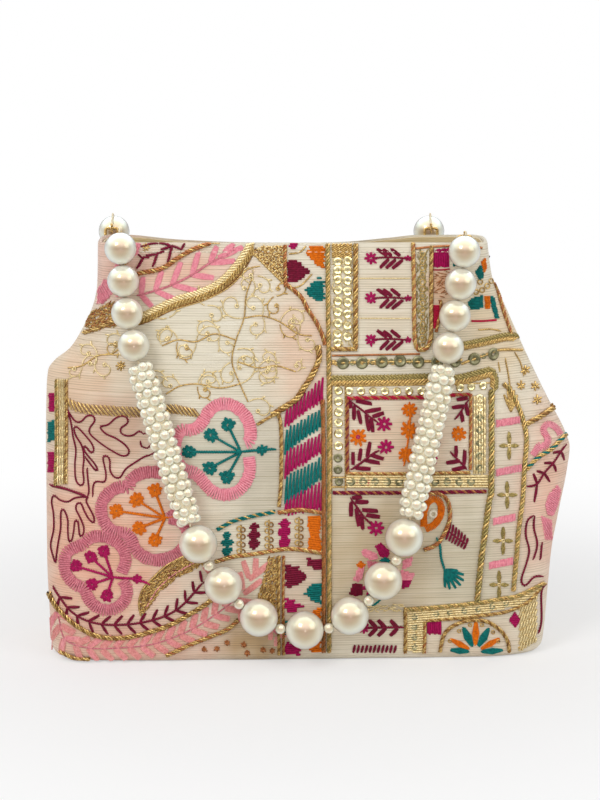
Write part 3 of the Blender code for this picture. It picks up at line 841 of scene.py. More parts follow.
class Needle:
    """Works stitches on one panel, in the chart's grid units of half a millimetre.

    CORD_STEP is how far apart a cord's points lie and CORD_LAY how far it goes in one turn, both in its widths.
    """

    UNIT_MM = 0.5
    CORD_STEP = 0.21
    CORD_LAY = 2.0

    def __init__(self, chart: Chart, seed: int) -> None:
        """Thread up.

        Args:
            chart: Where the stitches are laid.
            seed: The start of the hand's small unevenness.
        """
        self.chart = chart
        self.strands: dict[Thread, list[np.ndarray]] = {}
        self.hand = np.random.default_rng(seed)

    def strand(self, thread: Thread, line: np.ndarray, width: float, lift: np.ndarray | float = 0.3) -> None:
        """Lay one strand.

        Args:
            thread: What it is of.
            line: Rows of across and down.
            width: Its width.
            lift: How far its middle stands off the cloth, in millimetres.
        """
        radius = np.full(len(line), 0.5 * width * self.UNIT_MM)
        raised = np.broadcast_to(np.asarray(lift, dtype=float), (len(line),))
        self.strands.setdefault(thread, []).append(np.column_stack([line, raised, radius]))

    def run(self, thread: Thread, points: Points, width: float, lift: float = 0.3) -> None:
        """Lay a smooth unbroken line of thread through given points."""
        self.strand(thread, smooth_path(points, 3.0), width, lift)

    def stem(self, thread: Thread, points: Points, width: float, stitch: float = 5.0) -> None:
        """Work stem stitch: short slanting stitches, each lapping the last.

        Args:
            thread: What it is of.
            points: The given line.
            width: The line's width.
            stitch: One stitch's length.
        """
        line = smooth_path(points, 0.5 * stitch)
        aside = sideways(line) * 0.22 * width
        for i in range(len(line) - 2):
            ends = np.array([line[i] - aside[i], 0.5 * (line[i] + line[i + 2]), line[i + 2] + aside[i + 2]])
            self.strand(thread, ends, 0.62 * width, np.array([0.1, 0.38, 0.1]) * width * 0.6)

    def satin(self, thread: Thread, points: Points, reach: float, pitch: float,
              slant: float = 0.0, taper: float = 0.0, fill: float = 1.1) -> None:
        """Work satin stitch across a line.

        Args:
            thread: What it is of.
            points: The given centre line.
            reach: How far the stitches reach to each side.
            pitch: Their spacing.
            slant: How far each leans along the line.
            taper: How much shorter they are at the line's ends.
            fill: Each one's width, in spacings.
        """
        line = smooth_path(points, pitch)
        aside = sideways(line)
        ahead = np.stack([aside[:, 1], -aside[:, 0]], axis=-1)
        ends = np.abs(np.linspace(-1.0, 1.0, len(line))) ** 3
        size = reach * (1.0 - taper * ends) * (1.0 + self.hand.uniform(-0.08, 0.08, len(line)))
        for spot, across, along, half in zip(line, aside, ahead, size):
            offset = across * half + along * slant
            stitch = np.array([spot - offset, spot - 0.45 * offset, spot + 0.45 * offset, spot + offset])
            self.strand(thread, stitch, fill * pitch, np.array([0.05, 0.42, 0.42, 0.05]))

    def blade(self, thread: Thread, start: Spot, end: Spot,
              width: float, narrow: float = 0.65) -> None:
        """Work one straight leaf as strands side by side, widest in its middle.

        Args:
            thread: What it is of.
            start: Its foot.
            end: Its tip.
            width: Its width.
            narrow: How far it narrows to its ends.
        """
        foot, tip = np.array(start, dtype=float), np.array(end, dtype=float)
        length = max(float(np.linalg.norm(tip - foot)), 0.1)
        ahead = (tip - foot) / length
        aside = np.array([-ahead[1], ahead[0]])
        count = max(int(round(width / 1.3)), 1)
        for i in range(count):
            off = (i - 0.5 * (count - 1)) * width / count
            short = 0.75 * narrow * abs(off)
            near, far = self.hand.uniform(-0.6, 0.6, 2)
            drawn = aside * off * (1.0 - narrow)
            line = np.array([foot + ahead * (short + near) + drawn, 0.5 * (foot + tip) + aside * off,
                             tip - ahead * (short + far) + drawn])
            self.strand(thread, line, 1.25 * width / count, np.array([0.1, 0.42, 0.12]))

    def blades(self, thread: Thread, strokes: Strokes, width: float, narrow: float = 0.65) -> None:
        """Work straight leaves, each from a foot to a tip."""
        for a, b, c, d in strokes:
            self.blade(thread, (a, b), (c, d), width, narrow)

    def patch(self, thread: Thread, corners: Points, angle: float, pitch: float = 1.5,
              jag: float = 0.0, broken: float = 0.0) -> None:
        """Fill an outline with parallel stitches.

        Args:
            thread: What they are of.
            corners: The outline.
            angle: Their direction in degrees, 0 across and 90 up.
            pitch: Their spacing.
            jag: How unevenly they end.
            broken: How long each may be before the thread goes down and up again, or 0.
        """
        turn = math.radians(angle)
        ahead = np.array([math.cos(turn), -math.sin(turn)])
        aside = np.array([math.sin(turn), math.cos(turn)])
        outline = np.array(corners, dtype=float)
        along, off = outline @ ahead, outline @ aside
        size = len(outline)
        for mark in np.arange(off.min() + 0.5 * pitch, off.max(), pitch):
            cuts = []
            for i in range(size):
                k = (i + 1) % size
                if (off[i] - mark) * (off[k] - mark) < 0.0:
                    share = (mark - off[i]) / (off[k] - off[i])
                    cuts.append(along[i] + share * (along[k] - along[i]))
            cuts.sort()
            for low, high in zip(cuts[::2], cuts[1::2]):
                low, high = low + self.hand.uniform(-jag, jag), high + self.hand.uniform(-jag, jag)
                if high - low < 1.0:
                    continue
                stops = [low, high]
                if broken > 0.0:
                    count = max(int((high - low) / broken), 1)
                    stops = np.linspace(low, high, count + 1)
                for start, end in zip(stops[:-1], stops[1:]):
                    places = np.array([start, 0.7 * start + 0.3 * end, 0.3 * start + 0.7 * end, end])
                    line = places[:, None] * ahead + mark * aside
                    self.strand(thread, line, 1.15 * pitch, np.array([0.05, 0.4, 0.4, 0.05]))

    def stack(self, thread: Thread, top: Spot, low: Spot,
              widths: list[float]) -> None:
        """Work level stitches down a line, wider and narrower by turns.

        Args:
            thread: What they are of.
            top: The line's upper end.
            low: Its lower end.
            widths: The stitches' widths at even steps down it.
        """
        pitch = 1.7
        count = max(int((low[1] - top[1]) / pitch), 2)
        for share in np.linspace(0.0, 1.0, count):
            across = top[0] + (low[0] - top[0]) * share + self.hand.uniform(-0.5, 0.5)
            down = top[1] + (low[1] - top[1]) * share
            wide = float(np.interp(share, np.linspace(0.0, 1.0, len(widths)), widths))
            half = 0.5 * wide + self.hand.uniform(-0.8, 0.8)
            self.strand(thread, np.array([[across - half, down + 0.5], [across, down], [across + half, down - 0.5]]),
                        1.2 * pitch, np.array([0.05, 0.42, 0.05]))

    def seed(self, thread: Thread, corners: Points, spacing: float, length: float, angle: float,
             width: float = 1.5) -> None:
        """Fill an outline with short loose stitches that lie a little every way.

        Args:
            thread: What they are of.
            corners: The outline.
            spacing: How far apart they lie.
            length: Their length.
            angle: The way that most of them lie, in degrees.
            width: Their width.
        """
        outline = np.array(corners, dtype=float)
        low, high = outline.min(axis=0), outline.max(axis=0)
        ends = np.roll(outline, -1, axis=0)
        for down in np.arange(low[1], high[1], spacing):
            for across in np.arange(low[0], high[0], spacing):
                spot = np.array([across, down]) + self.hand.uniform(-0.5, 0.5, 2) * spacing
                above = (outline[:, 1] > spot[1]) != (ends[:, 1] > spot[1])
                fall = np.where(ends[:, 1] == outline[:, 1], 1e-9, ends[:, 1] - outline[:, 1])
                cuts = outline[:, 0] + (spot[1] - outline[:, 1]) / fall * (ends[:, 0] - outline[:, 0])
                if np.count_nonzero(above & (cuts > spot[0])) % 2 == 0:
                    continue
                turn = math.radians(angle + self.hand.uniform(-38.0, 38.0))
                way = 0.5 * length * np.array([math.cos(turn), -math.sin(turn)])
                self.strand(thread, np.array([spot - way, spot, spot + way]), width, np.array([0.15, 0.45, 0.15]))

    def twist(self, thread: Thread, points: Points, width: float, second: Thread | None = None) -> None:
        """Couch down a cord of three strands twisted together.

        Args:
            thread: The first strand's.
            points: The given line.
            width: The cord's width.
            second: The third strand's, or None for the darker or paler gold.
        """
        half = 0.5 * width * self.UNIT_MM
        line = smooth_path(points, self.CORD_STEP * width)
        aside = sideways(line)
        turn = np.arange(len(line)) * math.tau * self.CORD_STEP / self.CORD_LAY
        other = second or (GOLD if thread is COPPER else DARK_GOLD)
        for phase, strand in ((0.0, thread), (2.1, other), (4.2, thread)):
            sway = 0.27 * width * np.sin(turn + phase)[:, None]
            rise = 0.5 * half + 0.36 * half * np.cos(turn + phase)
            self.strand(strand, line + aside * sway, 0.46 * width, rise)

    def plait(self, thread: Thread, points: Points, width: float, second: Thread) -> None:
        """Work a flat plaited braid: short strands that slope in to its middle from both edges.

        Args:
            thread: One side's.
            points: The given line.
            width: The braid's width.
            second: The other side's.
        """
        pitch = 0.36 * width
        line = smooth_path(points, pitch)
        aside = sideways(line)
        ahead = np.stack([aside[:, 1], -aside[:, 0]], axis=-1)
        for side, strand, shift in ((1.0, thread, 0.0), (-1.0, second, 0.5)):
            for spot, across, along in zip(line + ahead * shift * pitch, aside, ahead):
                outer = spot + side * across * 0.5 * width - along * 0.32 * width
                inner = spot - side * across * 0.06 * width + along * 0.34 * width
                middle = 0.5 * (outer + inner) - along * 0.05 * width
                self.strand(strand, np.array([outer, middle, inner]), 0.8 * pitch, np.array([0.1, 0.75, 0.3]))
                self.strand(strand, np.array([outer, middle, inner]) - along * 0.12 * width, 0.45 * pitch,
                            np.array([0.1, 0.5, 0.2]))

    def floret(self, thread: Thread, centre: Spot, radius: float, petals: int,
               width: float, start: float = 90.0) -> None:
        """Work a small flower of straight petals round a point.

        Args:
            thread: What it is of.
            centre: The point.
            radius: The petals' length.
            petals: How many there are.
            width: Each one's width.
            start: The first one's direction in degrees.
        """
        for i in range(petals):
            turn = math.radians(start) + math.tau * i / petals
            way = (math.cos(turn), -math.sin(turn))
            inner = (centre[0] + 0.16 * radius * way[0], centre[1] + 0.16 * radius * way[1])
            reach = radius * (1.0 + self.hand.uniform(-0.16, 0.16))
            outer = (centre[0] + reach * way[0], centre[1] + reach * way[1])
            self.blade(thread, inner, outer, width, 0.4)

    def florets(self, thread: Thread, centres: Points, radius: float, petals: int, width: float) -> None:
        """Work the same small flower at each point."""
        for centre in centres:
            self.floret(thread, centre, radius, petals, width)

    def ring(self, thread: Thread, centre: Spot, radius: float, width: float) -> None:
        """Lay a small closed loop of thread.

        Args:
            thread: What it is of.
            centre: Its middle.
            radius: Its radius.
            width: The thread's width.
        """
        turn = np.linspace(0.0, math.tau, 11)
        line = np.array(centre) + radius * np.stack([np.cos(turn), np.sin(turn)], axis=-1)
        self.strand(thread, line, width)

    def rings(self, thread: Thread, centres: Points, radius: float, width: float) -> None:
        """Lay the same loop at each point."""
        for centre in centres:
            self.ring(thread, centre, radius, width)

    def fishbone(self, thread: Thread, points: Points, pitch: float, length: float, width: float,
                 lean: float, narrow: float = 0.65, skip: int = 0) -> None:
        """Work leaves that slope off both sides of a line.

        Args:
            thread: What they are of.
            points: The given line.
            pitch: Their spacing.
            length: Their length.
            width: Their width.
            lean: How much they slope forward.
            narrow: How far they narrow to their ends.
            skip: How many pairs are left out at the line's start.
        """
        line = smooth_path(points, pitch)
        for spot, across in list(zip(line, sideways(line)))[skip:]:
            ahead = np.array([across[1], -across[0]])
            for side in (-1.0, 1.0):
                way = ahead * lean + across * side
                way /= np.linalg.norm(way)
                tip = spot + way * length
                self.blade(thread, tuple(spot + way * 0.8), tuple(tip), width, narrow)

    def finish(self, prefix: str) -> None:
        """Knot off: turn what each thread has laid into one curve object.

        Args:
            prefix: What the objects' names start with.
        """
        for thread, strands in self.strands.items():
            rows = self.chart.lay(np.concatenate(strands))
            lines = np.split(rows, np.cumsum([len(strand) for strand in strands])[:-1])
            curve = thread_curve(f"{prefix}_{thread.value.name}", lines, MM, 0, False)
            for spline, strand in zip(curve.splines, strands):
                spline.points.foreach_set("radius", strand[:, 3])
                spline.use_smooth = True
            put_up(curve, FINISHES.of(thread), Body.BAG)


class FinishBox:
    """Makes each finish's material once."""

    def __init__(self) -> None:
        """Start empty."""
        self.made: dict[str, bpy.types.Material] = {}

    def of(self, finish: object) -> bpy.types.Material:
        """Give a finish's material.

        Args:
            finish: A thread, or a finish with its own name.

        Returns:
            The material.
        """
        kind = finish.value if isinstance(finish, Thread) else finish
        if kind.name not in self.made:
            self.made[kind.name] = kind.dress()
        return self.made[kind.name]


FINISHES = FinishBox()


def put_up(data: bpy.types.Mesh | bpy.types.Curve, material: bpy.types.Material, body: Body,
           nodes: tuple[str, ...] = ()) -> bpy.types.Object:
    """Put a piece in the scene.

    Args:
        data: Its mesh or curve, with its place in it.
        material: What it is finished in.
        body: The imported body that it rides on.
        nodes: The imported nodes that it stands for.

    Returns:
        The piece.
    """
    piece = bpy.data.objects.new(data.name, data)
    bpy.context.scene.collection.objects.link(piece)
    data.materials.append(material)
    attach(piece, body.value)
    if nodes:
        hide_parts(*nodes)
    LOG.info("made %s", piece.name)
    return piece


def mesh_of(build: bmesh.types.BMesh, name: str) -> bpy.types.Mesh:
    """Turn a bmesh into a smooth mesh with its sharp edges kept, and free it.

    Args:
        build: The bmesh.
        name: The mesh's name.

    Returns:
        The mesh.
    """
    mesh = bpy.data.meshes.new(name)
    build.to_mesh(mesh)
    build.free()
    mesh.shade_smooth()
    mesh.set_sharp_from_angle(angle=math.radians(50.0))
    return mesh


def turned(profile: Points, steps: int, weld: float = 1e-6) -> bmesh.types.BMesh:
    """Turn a closed profile about Z.

    Args:
        profile: Its corners' radii and heights.
        steps: How many faces go round.
        weld: How near points are joined.

    Returns:
        The turned shape.
    """
    build = bmesh.new()
    verts = [build.verts.new((r, 0.0, z)) for r, z in profile]
    edges = [build.edges.new(ends) for ends in zip(verts, verts[1:] + verts[:1])]
    bmesh.ops.spin(build, geom=verts + edges, cent=(0, 0, 0), axis=(0, 0, 1), dvec=(0, 0, 0),
                   angle=math.tau, steps=steps, use_merge=True, use_duplicate=False)
    bmesh.ops.remove_doubles(build, verts=build.verts, dist=weld)
    bmesh.ops.recalc_face_normals(build, faces=build.faces)
    return build


def set_between(build: bmesh.types.BMesh, start: Vector, end: Vector) -> None:
    """Move what is built about the origin to midway between two points, its Z along them."""
    place = Matrix.Translation(0.5 * (start + end)) @ (end - start).to_track_quat("Z", "Y").to_matrix().to_4x4()
    bmesh.ops.transform(build, matrix=place, verts=build.verts)


def thread_curve(name: str, lines: list[np.ndarray], radius: float, resolution: int = 1,
                 capped: bool = True) -> bpy.types.Curve:
    """Make a curve of one thickness along each line.

    Args:
        name: Its name.
        lines: Rows of x, y, z.
        radius: The thread's radius.
        resolution: How round it is.
        capped: Whether its ends are closed.

    Returns:
        The curve.
    """
    curve = bpy.data.curves.new(name, "CURVE")
    curve.dimensions = "3D"
    curve.bevel_depth = radius
    curve.bevel_resolution = resolution
    curve.use_fill_caps = capped
    for line in lines:
        spline = curve.splines.new("POLY")
        spline.points.add(len(line) - 1)
        spline.points.foreach_set("co", np.column_stack([line, np.ones(len(line))]).ravel())
    return curve


@dataclass(frozen=True)
class Cloud:
    """One soft cloud of colour on the cloth, in the chart's grid units; some are printed tints and some are painted
    shade.
    """

    across: float
    down: float
    wide: float
    tall: float
    shade: str
    depth: float = 1.0


@dataclass
class SewnBag:
    """A folded and sewn bag of cloth: outer wall, turned-over rim, inner wall and closed foot."""

    name: str
    form: BagForm
    view: Viewpoint
    low: float
    foot: float
    inset: float
    thickness: float
    top: float
    around: int = 120
    rows: int = 150
    # Clouds of printed tint and painted shade, multiplied into the cloth's colour.
    print_and_shade_clouds: tuple[Cloud, ...] = ()
    gathers: float = 0.0
    gathers_a_metre: float = 420.0
    sag_from: float = 0.93

    def levels(self) -> list[tuple[float, float]]:
        """List the rows' levels, up the outer wall, over the rim and down the inner.

        Returns:
            The height and the inset of each row.
        """
        half = 0.5 * self.thickness
        turns = [0.5 * math.pi * i / 5 for i in range(6)]
        foot = [(self.low + self.foot * (1.0 - math.cos(a)), self.inset + self.foot * (1.0 - math.sin(a)))
                for a in turns]
        wall = [(z, self.inset) for z in np.linspace(self.low + self.foot, self.top - half, self.rows)[1:]]
        rim = [(self.top - half + half * math.sin(a), self.inset + half * (1.0 - math.cos(a)))
               for a in (math.pi * i / 6 for i in range(1, 6))]
        inner = [(z, self.inset + self.thickness)
                 for z in np.linspace(self.top - half, self.low + self.foot, self.rows // 3)]
        heel = [(self.low + self.thickness + (self.foot - self.thickness) * (1.0 - math.cos(a)),
                 self.inset + self.thickness + (self.foot - self.thickness) * (1.0 - math.sin(a)))
                for a in turns[-2::-1]]
        return foot + wall + rim + inner + heel

    def row(self, z: float, inset: float) -> np.ndarray:
        """Give one row's points, with the back rim's sag.

        Args:
            z: Its height.
            inset: How far it lies inside the outer surface.

        Returns:
            Rows of x, y, z, first and last both at the left seam.
        """
        held = min(z, self.form.height)
        loop = self.form.section(held, self.around, inset)
        loop[:, 2] = z
        left, right = self.form.edges(self.form.height)
        along = np.clip((loop[:, 0] - left) / (right - left), 0.0, 1.0)
        near = float(self.form.ease(np.array((z / self.form.height - self.sag_from) / (1.0 - self.sag_from))))
        behind = np.clip(loop[:, 1] / (2.0 * MM), 0.0, 1.0)
        loop[:, 2] -= self.form.back_rim_sag * near * behind * self.form.rim_dent.at(along)
        if self.gathers:
            wave = np.sin(self.gathers_a_metre * loop[:, 0] + 1.7 * np.sin(60.0 * loop[:, 0]))
            loop[:, 1] -= np.sign(loop[:, 1]) * self.gathers * (0.5 + 0.5 * wave)
        return loop

    def build(self) -> bpy.types.Mesh:
        """Loft the bag, with its chart and its clouds of printed tint and painted shade.

        Returns:
            Its mesh.
        """
        levels = self.levels()
        rows = np.stack([self.row(z, inset) for z, inset in levels])
        steps = np.linalg.norm(np.diff(rows, axis=1), axis=2)
        reach = np.concatenate([np.zeros((len(rows), 1)), np.cumsum(steps, axis=1)], axis=1)
        climb = distances(np.array(levels))
        build = bmesh.new()
        chart = build.loops.layers.uv.new("cloth")
        # Vertex colours for the clouds: printed tints and painted shade.
        shade = build.verts.layers.float_color.new("print_and_shade_tint")
        across, up = rows.shape[1] - 1, rows.shape[0] - 1
        bmesh.ops.create_grid(build, x_segments=across, y_segments=up, size=1.0)
        cells = {vert: (round((vert.co.y + 1.0) * 0.5 * up), round((vert.co.x + 1.0) * 0.5 * across))
                 for vert in build.verts}
        print_and_shade = self.print_and_shade(rows.reshape(-1, 3)).reshape(*rows.shape[:2], 3)
        for face in build.faces:
            for loop in face.loops:
                i, k = cells[loop.vert]
                loop[chart].uv = (reach[i, k], climb[i])
        for vert, (i, k) in cells.items():
            vert.co = rows[i, k]
            vert[shade] = (*print_and_shade[i, k], 1.0)
        bmesh.ops.remove_doubles(build, verts=build.verts, dist=1e-6)
        closed = bmesh.ops.holes_fill(build, edges=[e for e in build.edges if e.is_boundary], sides=0)
        for face in closed["faces"]:
            for loop in face.loops:
                loop[chart].uv = loop.vert.co.xy
        bmesh.ops.recalc_face_normals(build, faces=build.faces)
        return mesh_of(build, self.name)

    def print_and_shade(self, points: np.ndarray) -> np.ndarray:
        """Give the colour of the clouds, printed tints and painted shade, at points of the bag.

        Args:
            points: Rows of x, y, z.

        Returns:
            Linear red, green and blue, to be multiplied with the cloth's own.
        """
        behind = points[:, 1] > 0.0
        across, down = np.where(behind, back_places(points[:, 0], points[:, 2]), self.view.project(points))
        colour = np.ones((len(points), 3))
        for cloud in self.print_and_shade_clouds:
            near = ((across - cloud.across) / cloud.wide) ** 2 + ((down - cloud.down) / cloud.tall) ** 2
            ragged = 0.25 * np.sin(0.16 * across + 0.11 * down) * np.sin(0.13 * down - 0.07 * across)
            weight = cloud.depth * np.exp(-np.clip(near + ragged, 0.0, None) ** 1.4)[:, None]
            colour = colour * (1.0 - weight) + np.array(tone(cloud.shade)[:3]) * weight
        return colour


@dataclass
class Handle:
    """One handle: its string, ropes and pearls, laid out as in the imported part."""

    form: BagForm
    side: Side
    route: Points
    pivots: Points
    body: Body
    top_pearl: float = 15.9 * MM
    bottom_pearl: float = 19.1 * MM
    spacer: float = 5.2 * MM
    rope: float = 15.0 * MM
    seed: float = 5.2 * MM
    bead_gap: float = 0.15 * MM
    bead_standoff: float = 0.6 * MM
    rope_standoff: float = 1.6 * MM
    bore: float = 1.2 * MM
    string: float = 0.5 * MM
    eye_radius: float = 2.0 * MM
    eye_wire: float = 0.6 * MM
    eye_clearance: float = 0.6 * MM
    eye_to_pearl: float = 0.3 * MM
    wrap_crest: float = 1.5 * MM
    cloth: float = 2.0 * MM
    longer: float = 1.04
    shorter: float = 0.96
    round_pitch: float = 0.83
    round_count: int = 6
    end_tuck: float = 0.82
    wrap: Points = field(default_factory=lambda: [(0.18, 0.1), (0.66, 0.89), (0.9, 0.95), (0.99, 0.87)])

    def __post_init__(self) -> None:
        """Work out where each bead hangs."""
        self.name = "front" if self.side is Side.FRONT else "back"
        half, tall = self.form.half_width, self.form.height
        rim = [float(self.form.skin_y(np.array(x * half), np.array(tall), self.side)) for x, _ in self.pivots]
        self.pivot_y = sum(rim) / len(rim) - self.side.value * 0.5 * self.cloth
        self.pivot_z = tall + self.eye_radius + self.eye_wire + self.eye_clearance
        self.pivot_x = [x * half for x, _ in self.pivots]
        self.drops = [drop for _, drop in self.pivots]
        self.beads = self.order()
        low, high = self.rope, tall
        for _ in range(40):
            middle = 0.5 * (low + high)
            if len(self.walk(middle)) > len(self.beads):
                low = middle
            else:
                high = middle
        self.rope_length = low
        self.joints = self.place(self.walk(low))

    def order(self) -> list[tuple[str, str, float, float]]:
        """List the beads from left to right.

        Returns:
            Each one's node, kind, diameter and share of the rope length.
        """
        tops = [(f"pearl_{i}", "top", self.top_pearl, 0.0) for i in range(1, 5)]
        beads = [(f"{self.name}_left_{n}", k, d, s) for n, k, d, s in tops]
        beads.append((f"{self.name}_left_pearl_rope", "rope", self.rope, self.longer))
        for i in range(1, 8):
            if i > 1:
                beads.append((f"{self.name}_spacer_{i - 1}", "spacer", self.spacer, 0.0))
            beads.append((f"{self.name}_bottom_pearl_{i}", "bottom", self.bottom_pearl, 0.0))
        beads.append((f"{self.name}_right_pearl_rope", "rope", self.rope, self.shorter))
        return beads + [(f"{self.name}_right_{n}", k, d, s) for n, k, d, s in tops[::-1]]

    def flat_path(self) -> np.ndarray:
        """Give the guide curve in the panel's plane, from the top of each end pearl.

        Returns:
            Rows of x and z.
        """
        top = self.pivot_z + 0.5 * (self.top_pearl + self.bead_gap)
        ends = [(x, top - drop) for x, drop in zip(self.pivot_x, self.drops)]
        points = [(x * self.form.half_width, z * self.form.height) for x, z in self.route]
        given = np.array([ends[0], *points, ends[1]])
        return curve_through(np.vstack([given[0], given, given[-1]]), 24)

    def walk(self, rope_length: float) -> list[np.ndarray]:
        """Step along the guide curve bead by bead.

        Args:
            rope_length: The ropes' length before their own shares.

        Returns:
            The joints, fewer than they should be where the curve is too short.
        """
        path = self.flat_path()
        joints = [path[0]]
        piece = 0
        for _, kind, diameter, share in self.beads:
            reach = (rope_length * share if kind == "rope" else diameter) + self.bead_gap
            while piece < len(path) - 1 and np.linalg.norm(path[piece + 1] - joints[-1]) < reach:
                piece += 1
            if piece >= len(path) - 1:
                return joints
            low, high = 0.0, 1.0
            for _ in range(30):
                middle = 0.5 * (low + high)
                spot = path[piece] + (path[piece + 1] - path[piece]) * middle
                if np.linalg.norm(spot - joints[-1]) < reach:
                    low = middle
                else:
                    high = middle
            joints.append(path[piece] + (path[piece + 1] - path[piece]) * high)
        return joints

    def resting_depth(self, x: float, z: float, radius: float) -> float:
        """Give how far from the middle plane a ball's centre is when it lies on the panel.

        Args:
            x: The centre's place across.
            z: Its height.
            radius: The ball's radius.

        Returns:
            The distance.
        """
        deepest = 0.0
        for i in range(-4, 5):
            for k in range(-4, 5):
                aside, up = radius * i / 4, radius * k / 4
                reach = radius ** 2 - aside ** 2 - up ** 2
                height = min(max(z + up, 0.0), self.form.height)
                left, right = self.form.edges(height)
                if reach >= 0.0 and left < x + aside < right:
                    skin = self.form.skin_y(np.array(x + aside), np.array(height), self.side)
                    deepest = max(deepest, abs(float(skin)) + math.sqrt(reach))
        return deepest

    def place(self, flat: list[np.ndarray]) -> list[Vector]:
        """Lift the flat joints off the panel, by the beads that meet there.

        Args:
            flat: The joints' x and z.

        Returns:
            The joints.
        """
        joints = []
        for i, (x, z) in enumerate(flat):
            meeting = self.beads[max(i - 1, 0):i + 1]
            radius = max(0.5 * bead[2] for bead in meeting)
            roped = any(bead[1] == "rope" for bead in meeting)
            depth = self.resting_depth(x, z, radius) + (self.rope_standoff if roped else self.bead_standoff)
            if i < 2 or i > len(flat) - 3:
                drop = self.drops[0] if x < 0.0 else self.drops[1]
                reach = 0.5 * self.top_pearl + self.eye_radius + self.eye_wire + self.eye_to_pearl
                depth = max(depth, abs(self.pivot_y) + math.sqrt(reach ** 2 - drop ** 2))
            joints.append(Vector((x, self.side.value * depth, z)))
        return joints

    def string_points(self) -> list[Vector]:
        """Give the string's whole path, from eye to eye.

        Returns:
            Its points.
        """
        ends = []
        for joint in (self.joints[0], self.joints[-1]):
            reach = joint.y - self.pivot_y
            crest = joint.z + self.wrap_crest - self.pivot_z
            ends.append([Vector((joint.x, self.pivot_y + out * reach, self.pivot_z + up * crest))
                         for out, up in self.wrap])
        return ends[0] + self.joints + ends[1][::-1]

    def make_pearl(self, name: str, radius: float, start: Vector, end: Vector, steps: int,
                   arcs: int) -> bpy.types.Mesh:
        """Turn one drilled pearl and set it on the string.

        Args:
            name: Its name.
            radius: Its radius.
            start: Where the string enters.
            end: Where the string leaves.
            steps: How many faces go round it.
            arcs: How many go from pole to pole.

        Returns:
            Its mesh.
        """
        first = math.asin(self.bore / radius)
        turns = [first + (math.pi - 2.0 * first) * i / arcs for i in range(arcs + 1)]
        build = turned([(radius * math.sin(a), radius * math.cos(a)) for a in turns], steps)
        set_between(build, start, end)
        return mesh_of(build, name)

    def make_rope(self, name: str, start: Vector, end: Vector, length: float) -> bpy.types.Mesh:
        """String a rope of small pearls, woven in staggered rounds of six about a padded core.

        Args:
            name: Its name.
            start: Its upper end.
            end: Its lower end.
            length: Its length.

        Returns:
            Its mesh.
        """
        build = bmesh.new()
        bmesh.ops.create_icosphere(build, subdivisions=2, radius=0.5 * self.seed)
        template = mesh_of(build, f"{name}_seed")
        build = bmesh.new()
        ring = 0.5 * (self.rope - self.seed)
        rounds = int(length / (self.round_pitch * self.seed))
        pitch = (length - self.seed) / (rounds - 1)
        hand = np.random.default_rng(len(name))
        for i in range(rounds):
            z = -0.5 * length + 0.5 * self.seed + i * pitch
            tuck = self.end_tuck if i in (0, rounds - 1) else 1.0
            for k in range(self.round_count):
                turn = math.tau * (k + 0.5 * (i % 2)) / self.round_count + hand.uniform(-0.13, 0.13)
                out = ring * tuck * hand.uniform(0.96, 1.0)
                size = len(build.verts)
                build.from_mesh(template)
                build.verts.ensure_lookup_table()
                rise = z + hand.uniform(-0.4, 0.4) * MM
                spot = Matrix.Translation((out * math.cos(turn), out * math.sin(turn), rise))
                grow = Matrix.Scale(hand.uniform(0.88, 1.03), 4)
                bmesh.ops.transform(build, matrix=spot @ grow, verts=build.verts[size:])
        self.wind_core(build, length)
        set_between(build, start, end)
        bpy.data.meshes.remove(template)
        return mesh_of(build, name)

    def wind_core(self, build: bmesh.types.BMesh, length: float) -> None:
        """Add the padded thread core that a rope's small pearls are sewn round.

        Args:
            build: What it is added to, lying along Z.
            length: The rope's length.
        """
        radius = 0.5 * self.rope - 0.62 * self.seed
        half = 0.5 * length - 1.2 * MM
        profile = [(self.bore, half), (radius - 0.6 * MM, half), (radius, half - 1.0 * MM),
                   (radius, -half + 1.0 * MM), (radius - 0.6 * MM, -half), (self.bore, -half)]
        core = turned(profile, 20)
        for face in core.faces:
            face.material_index = 1
        wound = mesh_of(core, "core")
        build.from_mesh(wound)
        bpy.data.meshes.remove(wound)

    def make_beads(self) -> list[bpy.types.Object]:
        """Make every pearl, spacer and rope.

        Returns:
            The pieces.
        """
        large = FINISHES.of(PearlFinish("large_pearl_lacquer"))
        # The small pearls' heart is painted reflection as well.
        small = FINISHES.of(PearlFinish("small_pearl_lacquer", "#D8C8AE", "#FCF5E8", "#F2E2CA", 0.25))
        made = []
        for (name, kind, diameter, share), start, end in zip(self.beads, self.joints, self.joints[1:]):
            if kind == "rope":
                length = self.rope_length * share
                mesh = self.make_rope(f"{name}_pearls", start, end, length)
                rope = put_up(mesh, small, self.body, (name,))
                mesh.materials.append(FINISHES.of(STRING))
                made.append(rope)
            else:
                fine = kind != "spacer"
                mesh = self.make_pearl(f"{name}_pearl", 0.5 * diameter, start, end, 32 if fine else 18,
                                       20 if fine else 10)
                made.append(put_up(mesh, large if fine else small, self.body,
                                   (name,)))
        return made

    def make_string(self, beads: list[bpy.types.Object]) -> None:
        """Run the string through the beads, with its wound eyes.

        Args:
            beads: The pieces on it.
        """
        points = self.string_points()
        curve = thread_curve(f"{self.name}_handle_string", [np.array(points)], self.string, 2)
        piece = put_up(curve, FINISHES.of(STRING), self.body, (f"{self.name}_string",))
        for end, joint in (("left", self.joints[0]), ("right", self.joints[-1])):
            put_up(self.make_eye(f"{self.name}_{end}_eye", joint.x), FINISHES.of(GOLD), self.body,
                   (f"{self.name}_string",))
            bar = self.make_bar(f"{self.name}_{end}_bar_threads", joint.x)
            put_up(bar, FINISHES.of(GOLD), Body.BAG, (f"{self.name}_{end}_thread_bar",))

